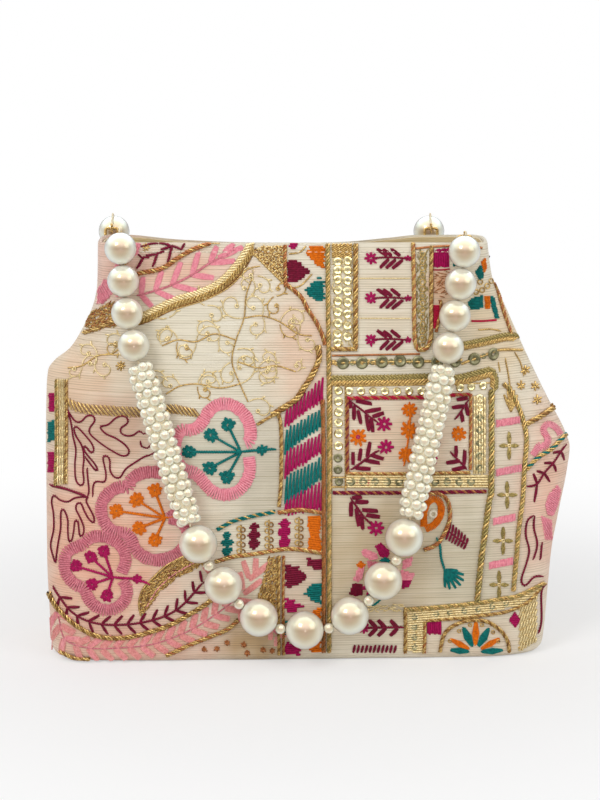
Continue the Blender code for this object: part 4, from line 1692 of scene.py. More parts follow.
    def make_eye(self, name: str, x: float) -> bpy.types.Curve:
        """Wind one eye round its thread bar, as turns of gold thread on a ring.

        Args:
            name: Its name.
            x: Its place across.

        Returns:
            Its curve.
        """
        turns = 13
        spots = np.linspace(0.0, math.tau, 12 * turns + 1)
        wire = 0.62 * self.eye_wire
        swell = self.eye_radius + wire * np.cos(turns * spots)
        line = np.stack([x + wire * np.sin(turns * spots), self.pivot_y + swell * np.cos(spots),
                         self.pivot_z + swell * np.sin(spots)], axis=-1)
        return thread_curve(name, [line], 0.38 * self.eye_wire)

    def make_bar(self, name: str, x: float) -> bpy.types.Curve:
        """Bundle the gold strands of one thread bar, twisted over an arch that stands on the rim.

        Args:
            name: Its name.
            x: Its place across.

        Returns:
            Its curve.
        """
        half, bend, foot, top = 3.2 * MM, 1.2 * MM, self.form.height - 0.4 * MM, self.pivot_z
        corner = [(half - bend * (1.0 - math.cos(a)), top - bend * (1.0 - math.sin(a)))
                  for a in (0.5 * math.pi * i / 4 for i in range(5))]
        right = [(half, foot), (half, 0.5 * (foot + top - bend)), *corner]
        arch = spaced(np.array([(-a, z) for a, z in right] + right[::-1]), 0.35 * MM)
        ahead = np.gradient(arch, axis=0)
        ahead /= np.linalg.norm(ahead, axis=1, keepdims=True)
        lines = []
        for k in range(4):
            turn = np.arange(len(arch)) * 0.55 + k * 0.5 * math.pi
            swing = 0.42 * MM * np.cos(turn)
            lines.append(np.stack([x + arch[:, 0] - ahead[:, 1] * swing,
                                   self.pivot_y + 0.42 * MM * np.sin(turn),
                                   arch[:, 1] + ahead[:, 0] * swing], axis=-1))
        return thread_curve(name, lines, 0.36 * MM)


@dataclass
class Sequins:
    """Sequins sewn on one panel: dished rings of thin metal film."""

    chart: Chart
    name: str
    finish: MottledFinish
    spots: list[tuple[float, float, float]] = field(default_factory=list)

    def row(self, points: Points, radius: float) -> None:
        """Sew one on at each of the points, their radius in grid units."""
        self.spots.extend((across, down, radius) for across, down in points)

    def template(self) -> bpy.types.Mesh:
        """Turn one sequin of radius 1, with its hole."""
        profile = [(0.24, 0.02), (0.3, 0.16), (0.74, 0.3), (1.0, 0.08), (0.97, 0.0), (0.72, 0.16), (0.34, 0.02)]
        return mesh_of(turned(profile, 14, 1e-5), f"{self.name}_one")

    def build(self) -> None:
        """Sew all of them on."""
        spots = np.array(self.spots)
        x, z = self.chart.place(spots[:, 0], spots[:, 1])
        skin = self.chart.form.surface(x, z, self.chart.side)
        away = self.chart.form.normals(x, z, self.chart.side)
        one = self.template()
        build = bmesh.new()
        hand = np.random.default_rng(len(spots))
        for spot, normal, radius in zip(skin, away, spots[:, 2]):
            size = len(build.verts)
            build.from_mesh(one)
            build.verts.ensure_lookup_table()
            lean = Vector(normal) + Vector(hand.uniform(-0.16, 0.16, 3))
            turn = lean.to_track_quat("Z", "Y").to_matrix().to_4x4()
            place = Matrix.Translation(Vector(spot + normal * 0.35 * MM)) @ turn @ Matrix.Scale(radius * UNIT, 4)
            bmesh.ops.transform(build, matrix=place, verts=build.verts[size:])
        bpy.data.meshes.remove(one)
        put_up(mesh_of(build, self.name), FINISHES.of(self.finish), Body.BAG)


class FrontEmbroidery:
    """The front's patchwork of worked fields, in the chart's grid units."""

    def __init__(self, form: BagForm, view: Viewpoint) -> None:
        """Thread up for the front.

        Args:
            form: The bag's surface.
            view: The camera whose grid the design is drawn on.
        """
        chart = Chart(form, view, Side.FRONT)
        self.needle = Needle(chart, 7)
        self.bright = Sequins(chart, "bright_sequins", BRIGHT_FILM)
        self.dull = Sequins(chart, "khaki_sequins", KHAKI_FILM)

    def work(self) -> None:
        """Work every field, then knot off."""
        for field_ in (self.arrows, self.leaf_stem, self.gold_field, self.scrolls, self.left_edge, self.corals,
                       self.lower_coral, self.trefoils, self.gold_leaf, self.lower_left, self.zigzags,
                       self.dividers, self.motif_band, self.ikat, self.diamonds, self.sequin_panel, self.sprig_rows,
                       self.right_blocks, self.ring_band, self.square, self.cream_field, self.flower,
                       self.paisley, self.bottom_band, self.fan, self.star_band, self.right_edge, self.right_top,
                       self.rim_stitches, self.under_handle):
            field_()
        self.needle.finish("front")
        self.bright.build()
        self.dull.build()

    def sprig(self, thread: Thread, stem: Points, leaves: Strokes, width: float) -> None:
        """Work a stem and its straight leaves."""
        self.needle.stem(thread, stem, width)
        self.needle.blades(thread, leaves, 1.15 * width + 1.0, 0.3)

    def arrows(self) -> None:
        """Work the wine arrows at the upper left."""
        n = self.needle
        for stem, arms in ((((137, 269), (143, 258)), ((138, 255), (149, 257))),
                           (((153, 267), (157, 254)), ((146, 256), (164, 251))),
                           (((168, 262), (172, 246)), ((159, 242), (161, 250), (175, 244), (181, 249))),
                           (((182, 250), (184, 243)), ())):
            n.stem(WINE, list(stem), 3.4)
            for arm in arms:
                n.stem(WINE, [stem[1], arm], 3.2)
        n.stem(WINE, pairs(141, 247, 150, 244, 158, 243), 2.8)
        n.floret(GOLD, (146, 247), 4.5, 7, 1.6)
        n.patch(PINK, pairs(129, 246, 136, 240, 141, 243, 138, 254, 131, 258), 60)

    def leaf_stem(self) -> None:
        """Work the pink leaf stem between its copper cord and the gold plait."""
        n = self.needle
        n.twist(COPPER, pairs(136, 275, 141, 273, 161, 269, 176, 259.5, 192, 250, 210.5, 243), 5.5, GOLD)
        n.stem(ROSE, pairs(137, 296, 155, 291, 172, 285, 192, 275, 210, 263, 225, 256, 236, 249), 2.6)
        n.blades(PINK, [(141, 295, 143, 277), (155, 291, 162, 271), (172, 285, 181, 262), (192, 275, 199, 251),
                        (210, 263, 217, 246), (155, 291, 178, 301), (141, 295, 152, 307), (172, 285, 197, 291),
                        (192, 275, 214, 278), (210, 263, 235, 261), (218, 258, 243, 247), (224, 253, 234, 243)],
                 6.0, 0.25)
        n.plait(GOLD, pairs(137, 320, 148, 316, 176, 302, 202, 294, 222, 283, 240, 264, 251, 247), 10, PALE_GOLD)
        n.run(DARK_GOLD, pairs(139, 325, 150, 321, 178, 307.5, 204, 299, 226, 287.5, 245, 268, 256, 248), 1.6)
        for ends in (pairs(211, 242, 216, 233), pairs(213, 243, 211, 235), pairs(215, 243, 220, 237)):
            n.run(GOLD, ends, 1.2, 1.0)

    def gold_field(self) -> None:
        """Couch the gold field beside the middle cord."""
        n = self.needle
        corners = pairs(252, 254, 262, 247, 283, 246, 284, 283, 262, 262)
        n.seed(DARK_GOLD, corners, 2.8, 4.5, -30.0, 1.5)
        n.seed(GOLD, corners, 2.3, 4.5, -35.0, 1.5)
        n.seed(PALE_GOLD, corners, 3.4, 4.0, 50.0, 1.5)
        n.twist(COPPER, pairs(285, 245, 285, 266, 285.5, 287), 4.5, GOLD)
        n.run(GOLD, pairs(252, 252, 262, 262, 284, 284), 2.2)

    def tendril(self, start: Spot, heading: float, length: float, curl: float,
                thread: Thread) -> None:
        """Work one vine tendril that coils up to a ring, with a few leaves on its outer side.

        Args:
            start: Its foot.
            heading: The way that it sets out, in degrees.
            length: Its length.
            curl: How far it turns in all, in degrees, below 0 to the right.
            thread: What it is of.
        """
        n = self.needle
        count = max(int(length / 1.5), 6)
        share = np.linspace(0.0, 1.0, count)
        turn = np.radians(heading + curl * (0.35 * share + 0.65 * share ** 2.2))
        steps = np.stack([np.cos(turn), -np.sin(turn)], axis=-1) * length / count
        line = np.array(start) + np.cumsum(steps, axis=0)
        n.run(thread, [tuple(p) for p in line[::3]] + [tuple(line[-1])], 1.3)
        n.ring(thread, tuple(line[-1]), 1.7, 1.6)
        side = -math.copysign(1.0, curl)
        for place in (0.3, 0.55):
            i = int(place * (count - 1))
            lean = turn[i] + side * 0.7
            tip = line[i] + 4.2 * np.array([math.cos(lean), -math.sin(lean)])
            n.blade(thread, tuple(line[i]), tuple(tip), 1.3)

    def scrolls(self) -> None:
        """Work the cream field's fine gold vine and the cord round it."""
        n = self.needle
        for points in (pairs(248, 402, 240, 384, 232, 362, 236, 340, 244, 318, 246, 296, 252, 278),
                       pairs(236, 340, 214, 334, 196, 342, 178, 340, 162, 346),
                       pairs(240, 384, 220, 388, 198, 384, 180, 386, 166, 394),
                       pairs(244, 318, 262, 316, 280, 322, 298, 334, 312, 336),
                       pairs(238, 362, 258, 368, 276, 366, 296, 372),
                       pairs(140, 340, 126, 344, 112, 354, 98, 356, 82, 366, 68, 368)):
            n.run(GOLD, points, 1.5)
        for x, y, heading, length, curl in (
                (248, 402, 30, 46, -280), (240, 384, 20, 58, 290), (232, 362, 200, 44, 300), (236, 350, 20, 44, -300),
                (244, 318, 190, 54, -300), (246, 300, 30, 46, 300), (252, 284, 160, 36, -310), (256, 276, 0, 40, -300),
                (220, 336, 100, 50, 300), (220, 336, 250, 40, 300), (196, 342, 80, 52, -300), (196, 342, 270, 42, -300),
                (178, 340, 110, 44, 300), (178, 341, 250, 42, 290), (162, 346, 120, 36, -290),
                (220, 388, 100, 42, 300), (198, 384, 80, 40, -300), (198, 385, 260, 32, 290),
                (180, 386, 110, 36, 290), (262, 316, 70, 46, 300), (262, 316, 300, 42, -300), (280, 322, 70, 50, -300),
                (280, 323, 270, 40, 290), (298, 334, 60, 34, 290), (298, 334, 260, 44, 300), (258, 368, 60, 38, -290),
                (258, 368, 290, 40, 290), (276, 366, 80, 34, 290), (276, 366, 280, 44, -300), (296, 372, 20, 22, 280),
                (126, 344, 110, 40, 300), (126, 345, 250, 40, -300), (112, 354, 70, 36, -300), (98, 356, 240, 44, 300),
                (98, 356, 100, 38, 300), (82, 366, 80, 34, -300), (82, 366, 270, 30, -290), (150, 372, 190, 46, 300),
                (150, 372, 20, 34, -300), (206, 306, 160, 38, -310), (206, 306, 10, 40, -290), (275, 296, 210, 36, 290),
                (275, 296, 0, 30, 290), (168, 318, 200, 34, -300), (168, 318, 20, 36, 300)):
            self.tendril((x, y), heading, length, curl, PALE_GOLD if (x + y) % 2 == 0 else GOLD)
        n.twist(COPPER, pairs(286, 284, 301, 297, 308, 310, 316, 322, 322.5, 336, 325, 345), 5, GOLD)
        n.twist(GOLD, pairs(318, 346, 318.7, 360, 311.7, 376, 304, 388, 296.5, 399, 284, 407.6, 272, 415), 7,
                DARK_GOLD)
        n.twist(GOLD, pairs(284, 409, 270, 417, 257, 424.6), 3.6)
        n.run(GOLD, pairs(150, 318, 180, 308, 205, 300, 228, 288, 247, 270, 260, 266), 1.4)

    def left_edge(self) -> None:
        """Work the florals and couching at the upper left edge."""
        n = self.needle
        n.patch(PINK, pairs(98, 290, 104, 279, 112, 281, 112, 294, 104, 302, 97, 304), 70)
        n.patch(ROSE, pairs(99, 296, 106, 290, 110, 297, 102, 305), 20)
        leaf = pairs(88, 314, 112, 302, 119, 308, 117, 326, 96, 331, 86, 324)
        n.seed(COPPER, leaf, 2.8, 5.0, 35.0)
        n.seed(GOLD, leaf, 2.6, 5.0, 25.0)
        n.twist(GOLD, pairs(84, 333, 98, 328, 114, 321, 128, 316, 137, 312), 5)
        n.run(PINK, pairs(118, 262, 116, 272, 121, 282, 117, 292), 4)
        n.floret(GOLD, (121, 366), 4.5, 8, 1.5)
        n.patch(PALE_GOLD, pairs(55, 379, 68, 379, 68, 484, 55, 486), 90, 2.2, 0.5, 9.0)
        n.twist(GOLD, pairs(57, 380, 57.5, 430, 56, 486), 4.2, GREEN_GOLD)
        n.twist(GOLD, pairs(66.5, 380, 66.8, 430, 66, 484), 4.2, DARK_GOLD)
        n.patch(MAGENTA, pairs(49, 393, 55, 393, 55, 412, 49, 412), 0, 1.7, 0.6)
        n.patch(MAGENTA, pairs(48, 452, 55, 452, 55, 473, 48, 473), 0, 1.7, 0.6)
        n.patch(TEAL, pairs(48, 422, 55, 420, 55, 440, 48, 442), 0, 1.7, 0.6)
        bank = pairs(66, 400, 80, 406, 110, 409, 140, 410, 170, 407, 196, 411)
        for thread, shift, fill in ((GOLD, 0.0, 0.44), (DARK_GOLD, 2.1, 0.22)):
            n.satin(thread, [(a + shift, b + 2.0) for a, b in bank], 5.0, 4.4, 4.5, 0.2, fill)

    def corals(self) -> None:
        """Work the branching wine lines at the left."""
        n = self.needle
        for points in (pairs(67, 409, 75, 421, 81, 422, 87, 416, 93, 416, 95, 421, 90, 428, 90, 434,
                             100, 443, 112, 451, 122, 456, 128, 455, 129, 450, 124, 444, 115, 438, 106, 434,
                             100, 427, 108, 425, 116, 418, 123, 416, 128, 419, 127, 424, 121, 428, 121, 433,
                             127, 436, 134, 435, 139, 431, 144, 434),
                       pairs(140, 441, 142, 447, 148, 448),
                       pairs(67, 409, 71, 422, 73, 436, 76, 450, 75, 465, 76, 480, 81, 486, 84, 482,
                             83, 470, 84, 458, 82, 446, 76, 436, 74, 428, 77, 427, 84, 434, 92, 444,
                             94, 451, 91, 453, 87, 448, 84, 446, 84, 450, 88, 456, 94, 463, 98, 470,
                             95, 470, 88, 461, 85, 457),
                       pairs(87, 468, 88, 480, 89, 490, 88, 497),
                       pairs(93, 497, 93, 488, 95, 482, 101, 482, 105, 482, 106, 474, 104, 464, 103, 457,
                             107, 456, 110, 461, 110, 470, 114, 477, 120, 478, 123, 473, 127, 468, 136, 462,
                             144, 457, 150, 455)):
            n.stem(WINE, points, 2.2, 4.0)
        n.stem(WINE, pairs(50, 485, 66, 489, 88, 497), 3.4)

    def lower_coral(self) -> None:
        """Work the lower branching wine line."""
        self.needle.stem(WINE, pairs(86, 497, 75, 498, 68, 502, 60, 500, 54, 495, 52, 502, 54, 515, 54, 530, 51, 545,
                                     54, 558, 56, 563, 57, 553, 59, 540, 61, 528, 61, 515, 62, 509, 65, 511, 68, 520,
                                     68, 530, 69, 541, 72, 540, 74, 530, 75, 521, 78, 521, 79, 529, 80, 536, 83, 535,
                                     84, 527, 80, 517, 76, 509, 77, 504, 81, 503, 84, 510, 89, 519, 94, 523, 94, 517,
                                     89, 507, 86, 501, 88, 497), 2.2, 4.0)

    def trefoil(self, silk: Thread, border: Points, half: float, thread: Thread, florets: Points, radius: float,
                foot: Spot, sprig: Points, bud: Spot) -> None:
        """Work one lobed medallion: a satin border, florets on stems and a sprig at its foot.

        Args:
            silk: The border's thread.
            border: The border's centre line.
            half: Half its width.
            thread: The flowers' thread.
            florets: The flowers' middles.
            radius: Their size.
            foot: Where the stems meet.
            sprig: The stem beyond the foot.
            bud: The small flower on that.
        """
        n = self.needle
        n.satin(silk, border, half, 2.25, 0.0, 0.0, 1.12)
        for spot in florets:
            bend = (0.5 * (spot[0] + foot[0]), 0.5 * (spot[1] + foot[1]))
            n.stem(thread, [spot, bend, foot], 3.2)
            n.floret(thread, spot, radius, 8, 4.4, 20.0)
        n.stem(thread, [foot, *sprig], 3.2)
        n.floret(thread, bud, 0.75 * radius, 6, 3.2)

    def trefoils(self) -> None:
        """Work the three lobed medallions."""
        self.trefoil(ROSE, pairs(
            170, 518, 178, 511, 183, 497, 178, 482, 165, 474, 152, 472, 140, 474, 131, 480, 128, 488, 121, 487,
            110, 492, 102, 503, 102, 515, 107, 526, 116, 532, 126, 533, 132, 541, 136, 550, 145, 557, 157, 560,
            170, 557, 180, 551, 188, 540, 186, 527, 178, 520, 170, 518), 6.0,
            ORANGE, pairs(117, 511, 137, 500, 155, 491, 139, 528, 155, 540), 7.2,
            (165, 518), pairs(176, 516, 196, 512), (182, 515))
        self.trefoil(ROSE, pairs(
            122, 572, 126, 560, 122, 547, 112, 539, 100, 536, 90, 538, 84, 544, 76, 547, 67, 553, 65, 564,
            67, 575, 75, 584, 84, 588, 88, 597, 94, 605, 106, 610, 118, 607, 126, 598, 127, 588, 123, 581), 5.8,
            MAGENTA, pairs(76, 566, 91, 557, 104, 551, 92, 584, 107, 595), 6.4,
            (113, 577), pairs(124, 578, 136, 579, 150, 584), (137, 579))
        self.trefoil(PINK, pairs(
            246, 443, 250, 440, 250, 427, 244, 414, 232, 405, 220, 404, 210, 410, 204, 419, 198, 427, 190, 430,
            182, 430, 176, 440, 176, 455, 182, 468, 196, 474, 203, 482, 213, 492, 225, 495, 237, 492, 246, 482,
            250, 470, 249, 458), 6.0,
            TEAL, pairs(228, 425, 211, 435, 189, 452, 210, 468, 227, 477), 7.2,
            (241, 452), pairs(249, 451, 262, 450, 276, 449), (262, 450))

    def gold_leaf(self) -> None:
        """Work the gold leaf below the second medallion."""
        n = self.needle
        leaf = pairs(142, 614, 140, 605, 143, 592, 151, 582, 160, 574, 170, 565, 180, 558, 200, 553, 213, 549,
                     213, 556, 200, 566, 188, 573, 180, 575, 170, 583, 160, 592, 152, 602, 146, 612)
        n.seed(DARK_GOLD, leaf, 2.6, 5.0, 40.0)
        n.seed(GOLD, leaf, 2.2, 5.0, 45.0)
        n.stem(PINK, pairs(146, 608, 156, 591, 170, 577, 188, 566, 212, 553), 2.2)
        n.floret(WINE, (172, 573), 6, 6, 2.4)
        n.run(GOLD, pairs(141, 616, 139, 604, 142, 591, 150, 581, 170, 563, 198, 551, 214, 547), 2.4)

    def lower_left(self) -> None:
        """Work the fishbone, the cords and the pink leaf band at the lower left."""
        n = self.needle
        spine = pairs(53, 586, 60, 597, 70, 610, 83, 619, 100, 624, 120, 625, 140, 623, 160, 618, 178, 609, 193, 594,
                      202, 583)
        n.stem(WINE, spine, 2.8)
        n.fishbone(WINE, spine, 12.5, 12.5, 3.0, 0.9, skip=1)
        n.twist(GOLD, pairs(50, 592, 52, 598, 60, 610, 75, 624, 92, 634, 110, 638, 130, 637, 150, 632, 170, 625,
                            190, 614, 207.5, 603, 222, 590), 5.5, DARK_GOLD)
        band = pairs(58, 612, 60, 622, 66, 640, 90, 648, 120, 648, 150, 645, 178, 636, 200, 625, 222, 610, 235, 600)
        n.stem(ROSE, band, 1.8)
        n.fishbone(SALMON, band, 13.0, 16.5, 6.5, 0.95, 0.12)
        n.fishbone(PINK, band, 26.0, 16.0, 3.4, 0.95, 0.12)
        n.twist(GOLD, pairs(60, 651, 75, 658, 90, 659), 4.5)
        n.twist(GOLD, pairs(166, 656, 190, 645, 210, 637, 228, 629, 238, 620), 5, COPPER)
        n.florets(COPPER, pairs(204, 650, 217, 649, 227, 643, 244, 645, 247, 653, 263, 650, 272, 651), 2.6, 6, 1.6)
        n.stem(ROSE, pairs(240, 610, 252, 618, 266, 624, 277, 634), 2.4)
        n.fishbone(SALMON, pairs(240, 612, 252, 620, 266, 626, 277, 636), 9, 10, 5.0, 0.8, 0.2)

    def zigzags(self) -> None:
        """Work the slanting bands of tapered strokes beside the middle cord."""
        n = self.needle
        for thread, left, right in ((MAGENTA, (411, 425), (381, 400)), (TEAL, (431, 451), (410, 425)),
                                    (MAGENTA, (453, 475), (434, 451)), (TEAL, (478, 503), (459, 478)),
                                    (MAGENTA, (501, 513), (482, 508))):
            for i in range(11):
                share = i / 10
                across = 286.0 + 35.5 * share
                top = left[0] + (right[0] - left[0]) * share + n.hand.uniform(-1.2, 1.2)
                low = left[1] + (right[1] - left[1]) * share + n.hand.uniform(-1.2, 1.2)
                n.blade(thread, (across - 1.0, low + 3.0), (across + 1.4, top - 2.5), 3.0)
                n.blade(thread, (across + 1.0, low - 1.0), (across + 0.6, top + 1.5), 1.4)

    def dividers(self) -> None:
        """Couch down the long cords that part the fields."""
        n = self.needle
        n.twist(GOLD, pairs(278, 412, 281, 430, 281, 480, 279, 507), 4.5)
        n.twist(COPPER, pairs(322.5, 400, 323.5, 450, 323.8, 550, 323.5, 652), 5, DARK_GOLD)
        n.twist(GOLD, pairs(327.5, 244, 328, 300, 329, 400, 329.2, 520, 329, 652), 5.5, GREEN_GOLD)
        n.twist(TEAL, pairs(217, 530, 232, 522, 250, 517, 275, 512), 4.5, GOLD)
        n.twist(COPPER, pairs(278, 513, 300, 510, 322, 513), 5)
        n.twist(GOLD, pairs(215, 562, 232, 557, 255, 554, 290, 549, 322, 553), 5, COPPER)
        n.twist(GOLD, pairs(279, 556, 278.5, 605, 279, 655), 4)
        n.twist(COPPER, pairs(283.5, 556, 283, 605, 283.5, 655), 3.6)
        n.twist(GOLD, pairs(355.5, 244, 355.5, 296, 355.5, 349), 6, DARK_GOLD)
        n.twist(GOLD, pairs(331, 349.5, 343, 349.5, 357, 349.5), 5)
        n.twist(GOLD, pairs(413, 241, 414, 292, 415, 342, 422, 350, 428, 346, 431, 335), 5, COPPER)
        n.twist(GOLD, pairs(431.5, 246, 431, 300, 431, 340), 5)
        n.twist(COPPER, pairs(436, 332, 438, 322, 441, 311, 440, 300), 4)

    def motif_band(self) -> None:
        """Work the curved band of small motifs across the middle."""
        n = self.needle
        vase = (0.4, 0.9, 0.35, 1.0, 1.0, 0.3, 0.9, 0.8, 0.3)
        block = (1.0, 1.0, 0.7, 1.0, 1.0)
        for thread, left, right, top, low, shape in (
                (TEAL, 222, 232, 533, 555, vase), (WINE, 249, 259, 524, 549, vase),
                (MAGENTA, 279, 290, 520, 548, vase), (ORANGE, 309, 320, 517, 551, block)):
            centre = 0.5 * (left + right)
            n.stack(thread, (centre, top), (centre, low), [share * (right - left + 2.0) for share in shape])
        for across, down in pairs(241, 540, 269, 535, 299, 532):
            for step in (-11, -4, 4, 11):
                n.ring(GOLD, (across - 1.8, down + step), 2.3, 1.5)
                n.ring(DARK_GOLD, (across + 1.8, down + step + 1), 2.3, 1.5)
            n.run(GOLD, [(across, down - 15), (across, down + 15)], 1.6)
        ground = pairs(268, 558, 277, 558, 277, 608, 256, 602, 262, 585)
        n.seed(DARK_GOLD, ground, 2.8, 4.5, 60.0)
        n.seed(GOLD, ground, 2.3, 4.5, 55.0)
        n.blades(SALMON, [(243, 561, 249, 578), (270, 563, 249, 580), (262, 580, 244, 594), (256, 558, 255, 574),
                          (240, 572, 243, 590)], 6.0, 0.2)

    def ikat(self) -> None:
        """Work the stepped blocks of colour below the middle band."""
        n = self.needle
        for thread, corners in (
                (WINE, pairs(285, 565, 296, 566, 302, 572, 305, 578, 298, 585, 288, 588, 285, 586)),
                (WINE, pairs(305, 558, 322, 560, 322, 570, 312, 569)),
                (TEAL, pairs(305, 594, 313, 584, 322, 583, 322, 604, 314, 602)),
                (MAGENTA, pairs(285, 598, 292, 600, 302, 606, 296, 612, 286, 613)),
                (ORANGE, pairs(309, 612, 322, 607, 322, 618, 314, 620)),
                (ORANGE, pairs(308, 640, 322, 640, 322, 652, 310, 652)),
                (MAGENTA, pairs(285, 642, 300, 644, 298, 655, 285, 655)),
                (TEAL, pairs(285, 622, 296, 620, 301, 628, 294, 636, 285, 635)),
                (WINE, pairs(308, 626, 322, 624, 322, 634, 312, 634))):
            n.patch(thread, corners, 4, 2.1, 2.6)

    def diamonds(self) -> None:
        """Work the stepped diamonds above the zigzag bands."""
        n = self.needle
        for thread, corners in (
                (WINE, pairs(287, 258, 296, 259, 310, 271.5, 296, 283, 287, 284)),
                (MAGENTA, pairs(290, 243, 299, 243, 296, 249, 290, 249)),
                (ORANGE, pairs(305.5, 254, 312, 245, 324, 244, 324, 269, 318, 266)),
                (TEAL, pairs(305, 291, 318, 277, 324, 280, 324, 301, 315, 301))):
            n.patch(thread, corners, 0, 2.0, 1.6)
        n.run(GOLD, pairs(288, 288, 300, 286, 312, 274), 1.6)
        n.run(GOLD, pairs(289, 254, 300, 252, 306, 246), 1.6)

    def sequin_panel(self) -> None:
        """Sew the panel of sequins right of the middle cord."""
        n = self.needle
        n.seed(PALE_GOLD, pairs(332, 258, 353, 258, 353, 347, 332, 347), 3.4, 4.5, 80.0, 1.2)
        n.patch(GOLD, pairs(332, 244, 352, 244, 352, 258, 332, 258), 30, 1.8, 0.4, 5.0)
        self.bright.row([(337.7, d) for d in (262, 270.5, 280, 290.5, 301.5, 312.5, 323.5, 334, 343.5)], 4.6)
        self.bright.row([(347.5, d) for d in (261, 270.5, 281, 292, 303, 314.5, 326, 337)], 4.6)

    def sprig_rows(self) -> None:
        """Work the three rows of sprigs at the top middle."""
        n = self.needle
        for down in (258.5, 298.5, 340.0):
            leaves = [(387, -2.5, 377, -9.5), (400, -2.5, 391, -9.5), (389, 0.5, 380, 9.5), (403, 1.5, 392, 10.5),
                      (392, -2.5, 383, -9), (396, 1.0, 386, 10.0)]
            self.sprig(WINE, [(372, down), (390, down - 1), (411, down + 0.5)], [(a, down + b, c, down + d) for a, b,
                                                                                 c, d in leaves], 2.4)
            n.floret(MAGENTA, (371, down), 6.2, 8, 2.6)
            n.floret(MAGENTA, (408, down), 3.4, 5, 2.2)
            n.run(PALE_GOLD, [(359, down + 20), (384, down + 20), (411, down + 20)], 1.2)
        n.seed(GREEN_GOLD, pairs(417, 250, 428, 250, 428, 346, 417, 346), 3.0, 4.0, 80.0, 1.3)
        n.rings(GOLD, [(422.5, down) for down in range(254, 346, 7)], 2.6, 1.5)

    def right_blocks(self) -> None:
        """Work the magenta and red blocks by the right pearls."""
        n = self.needle
        n.patch(MAGENTA, pairs(434, 250, 450, 248, 450, 267, 433, 267), 90, 1.8, 0.8)
        n.run(COPPER, pairs(414, 249, 432, 247, 450, 246), 2.4)
        n.patch(RED, pairs(433, 305, 441, 305, 437, 328, 432, 328), 0, 1.8, 0.5)
        n.seed(COPPER, pairs(433, 271, 450, 269, 448, 296, 433, 298), 4.0, 5.0, 12.0, 0.9)
        n.run(RED, pairs(433, 270, 441, 270, 450, 269), 1.4)

    def ring_band(self) -> None:
        """Sew the row of large khaki sequins and work the gold band below it."""
        n = self.needle
        n.run(COPPER, pairs(332, 356, 380, 355, 420, 354), 2.0)
        n.run(GOLD, pairs(332, 363.4, 380, 362, 424, 361.6), 3.0)
        n.seed(GOLD, pairs(332, 361, 424, 359, 424, 364, 332, 366), 3.0, 4.5, 0.0)
        self.dull.row(pairs(343, 363.4, 362, 363, 382, 362, 400, 361, 418, 362, 474, 359, 493, 354), 6.5)
        self.dull.row(pairs(352.5, 363, 372, 362.5, 391, 361.5, 409, 361.5, 483.5, 356), 3.0)
        n.run(GOLD, pairs(461, 364, 474, 359, 485, 355, 500, 350, 522, 350), 3)
        for points in (pairs(331, 381, 378, 380.5, 425, 379), pairs(459, 380, 475, 376, 490, 372)):
            n.plait(GOLD, points, 10, GREEN_GOLD)
        n.plait(GOLD, pairs(490, 372, 494, 378, 494, 388), 8, GREEN_GOLD)
        self.bright.row([(a, 391.5) for a in (349, 361, 373, 385, 397, 409, 421)], 4.2)
        self.bright.row(pairs(460, 388, 471, 387, 483, 386), 4.2)
        n.twist(RED, pairs(347, 398.5, 385, 398, 425, 397.5), 4.5, COPPER)
        n.twist(COPPER, [(455, 395), (470, 394.5)], 4, RED)

    def square(self) -> None:
        """Work the square of sprigs within its sequin border."""
        n = self.needle
        for corners, angle in ((pairs(347, 476, 488, 475, 488, 488, 347, 488), 0),
                               (pairs(473, 397, 487, 397, 487, 474, 473, 474), 90)):
            n.patch(PALE_GOLD, corners, angle, 2.6, 1.0, 7.0)
        for across in (331.5, 345.5):
            n.twist(GOLD, [(across, 386), (across, 436), (across, 490)], 2.2)
        n.run(GOLD, pairs(347, 386.5, 420, 385, 490, 383), 1.6)
        self.bright.row([(338.5, d) for d in (391, 402, 412.5, 423, 433.6, 446)], 4.6)
        self.dull.row([(338, 458), (338, 469.5)], 4.6)
        self.dull.row([(a, 481.5) for a in range(339, 480, 12)], 4.4)
        n.twist(COPPER, pairs(347.5, 399, 347.2, 436, 347.5, 474), 4, WINE)
        n.twist(GOLD, pairs(347, 473.5, 400, 473.5, 470, 472.5), 4, COPPER)
        n.twist(COPPER, pairs(470.5, 394, 470.5, 430, 470, 470), 4)
        self.sprig(WINE, pairs(352, 403, 363, 411, 371, 418, 378, 422),
                   [(356, 401, 372, 404), (365, 412, 381, 409), (372, 417, 384, 413), (354, 406, 354, 420),
                    (358, 410, 361, 424), (366, 414, 369, 431), (371, 418, 373, 432), (350, 401, 351, 409)], 2.8)
        n.floret(MAGENTA, (384, 424), 7.5, 8, 3)
        n.floret(ORANGE, (358, 437), 8.5, 9, 3.2)
        n.ring(MAGENTA, (358, 437), 1.6, 2.0)
        self.sprig(WINE, pairs(351, 470, 362, 462, 371, 455, 379, 450),
                   [(355, 468, 371, 469), (364, 460, 380, 463), (371, 455, 384, 459), (353, 465, 353, 452),
                    (359, 461, 361, 448), (367, 457, 370, 442)], 2.8)
        n.floret(MAGENTA, (386, 447), 7.5, 8, 3)
        for across, down, radius in ((409, 410, 7.5), (409, 430, 8.5), (406, 454, 7.5)):
            n.floret(ORANGE, (across, down), radius, 9, 3.2)
        n.stem(ORANGE, pairs(409, 402, 410, 420, 408, 440, 404, 466), 2.4)
        self.sprig(WINE, pairs(468, 400, 462, 410, 455, 420),
                   [(468, 398, 456, 400), (464, 406, 452, 408), (466, 404, 468, 416), (461, 412, 463, 422)], 2.8)
        n.floret(ORANGE, (458, 434), 7.5, 9, 3.2)
        self.sprig(WINE, pairs(467, 469, 459, 461, 450, 452),
                   [(466, 467, 452, 470), (460, 461, 446, 463), (464, 465, 465, 450), (456, 457, 456, 446)], 2.8)
        self.bright.row([(479.5, 399), (479.5, 408)], 4.4)
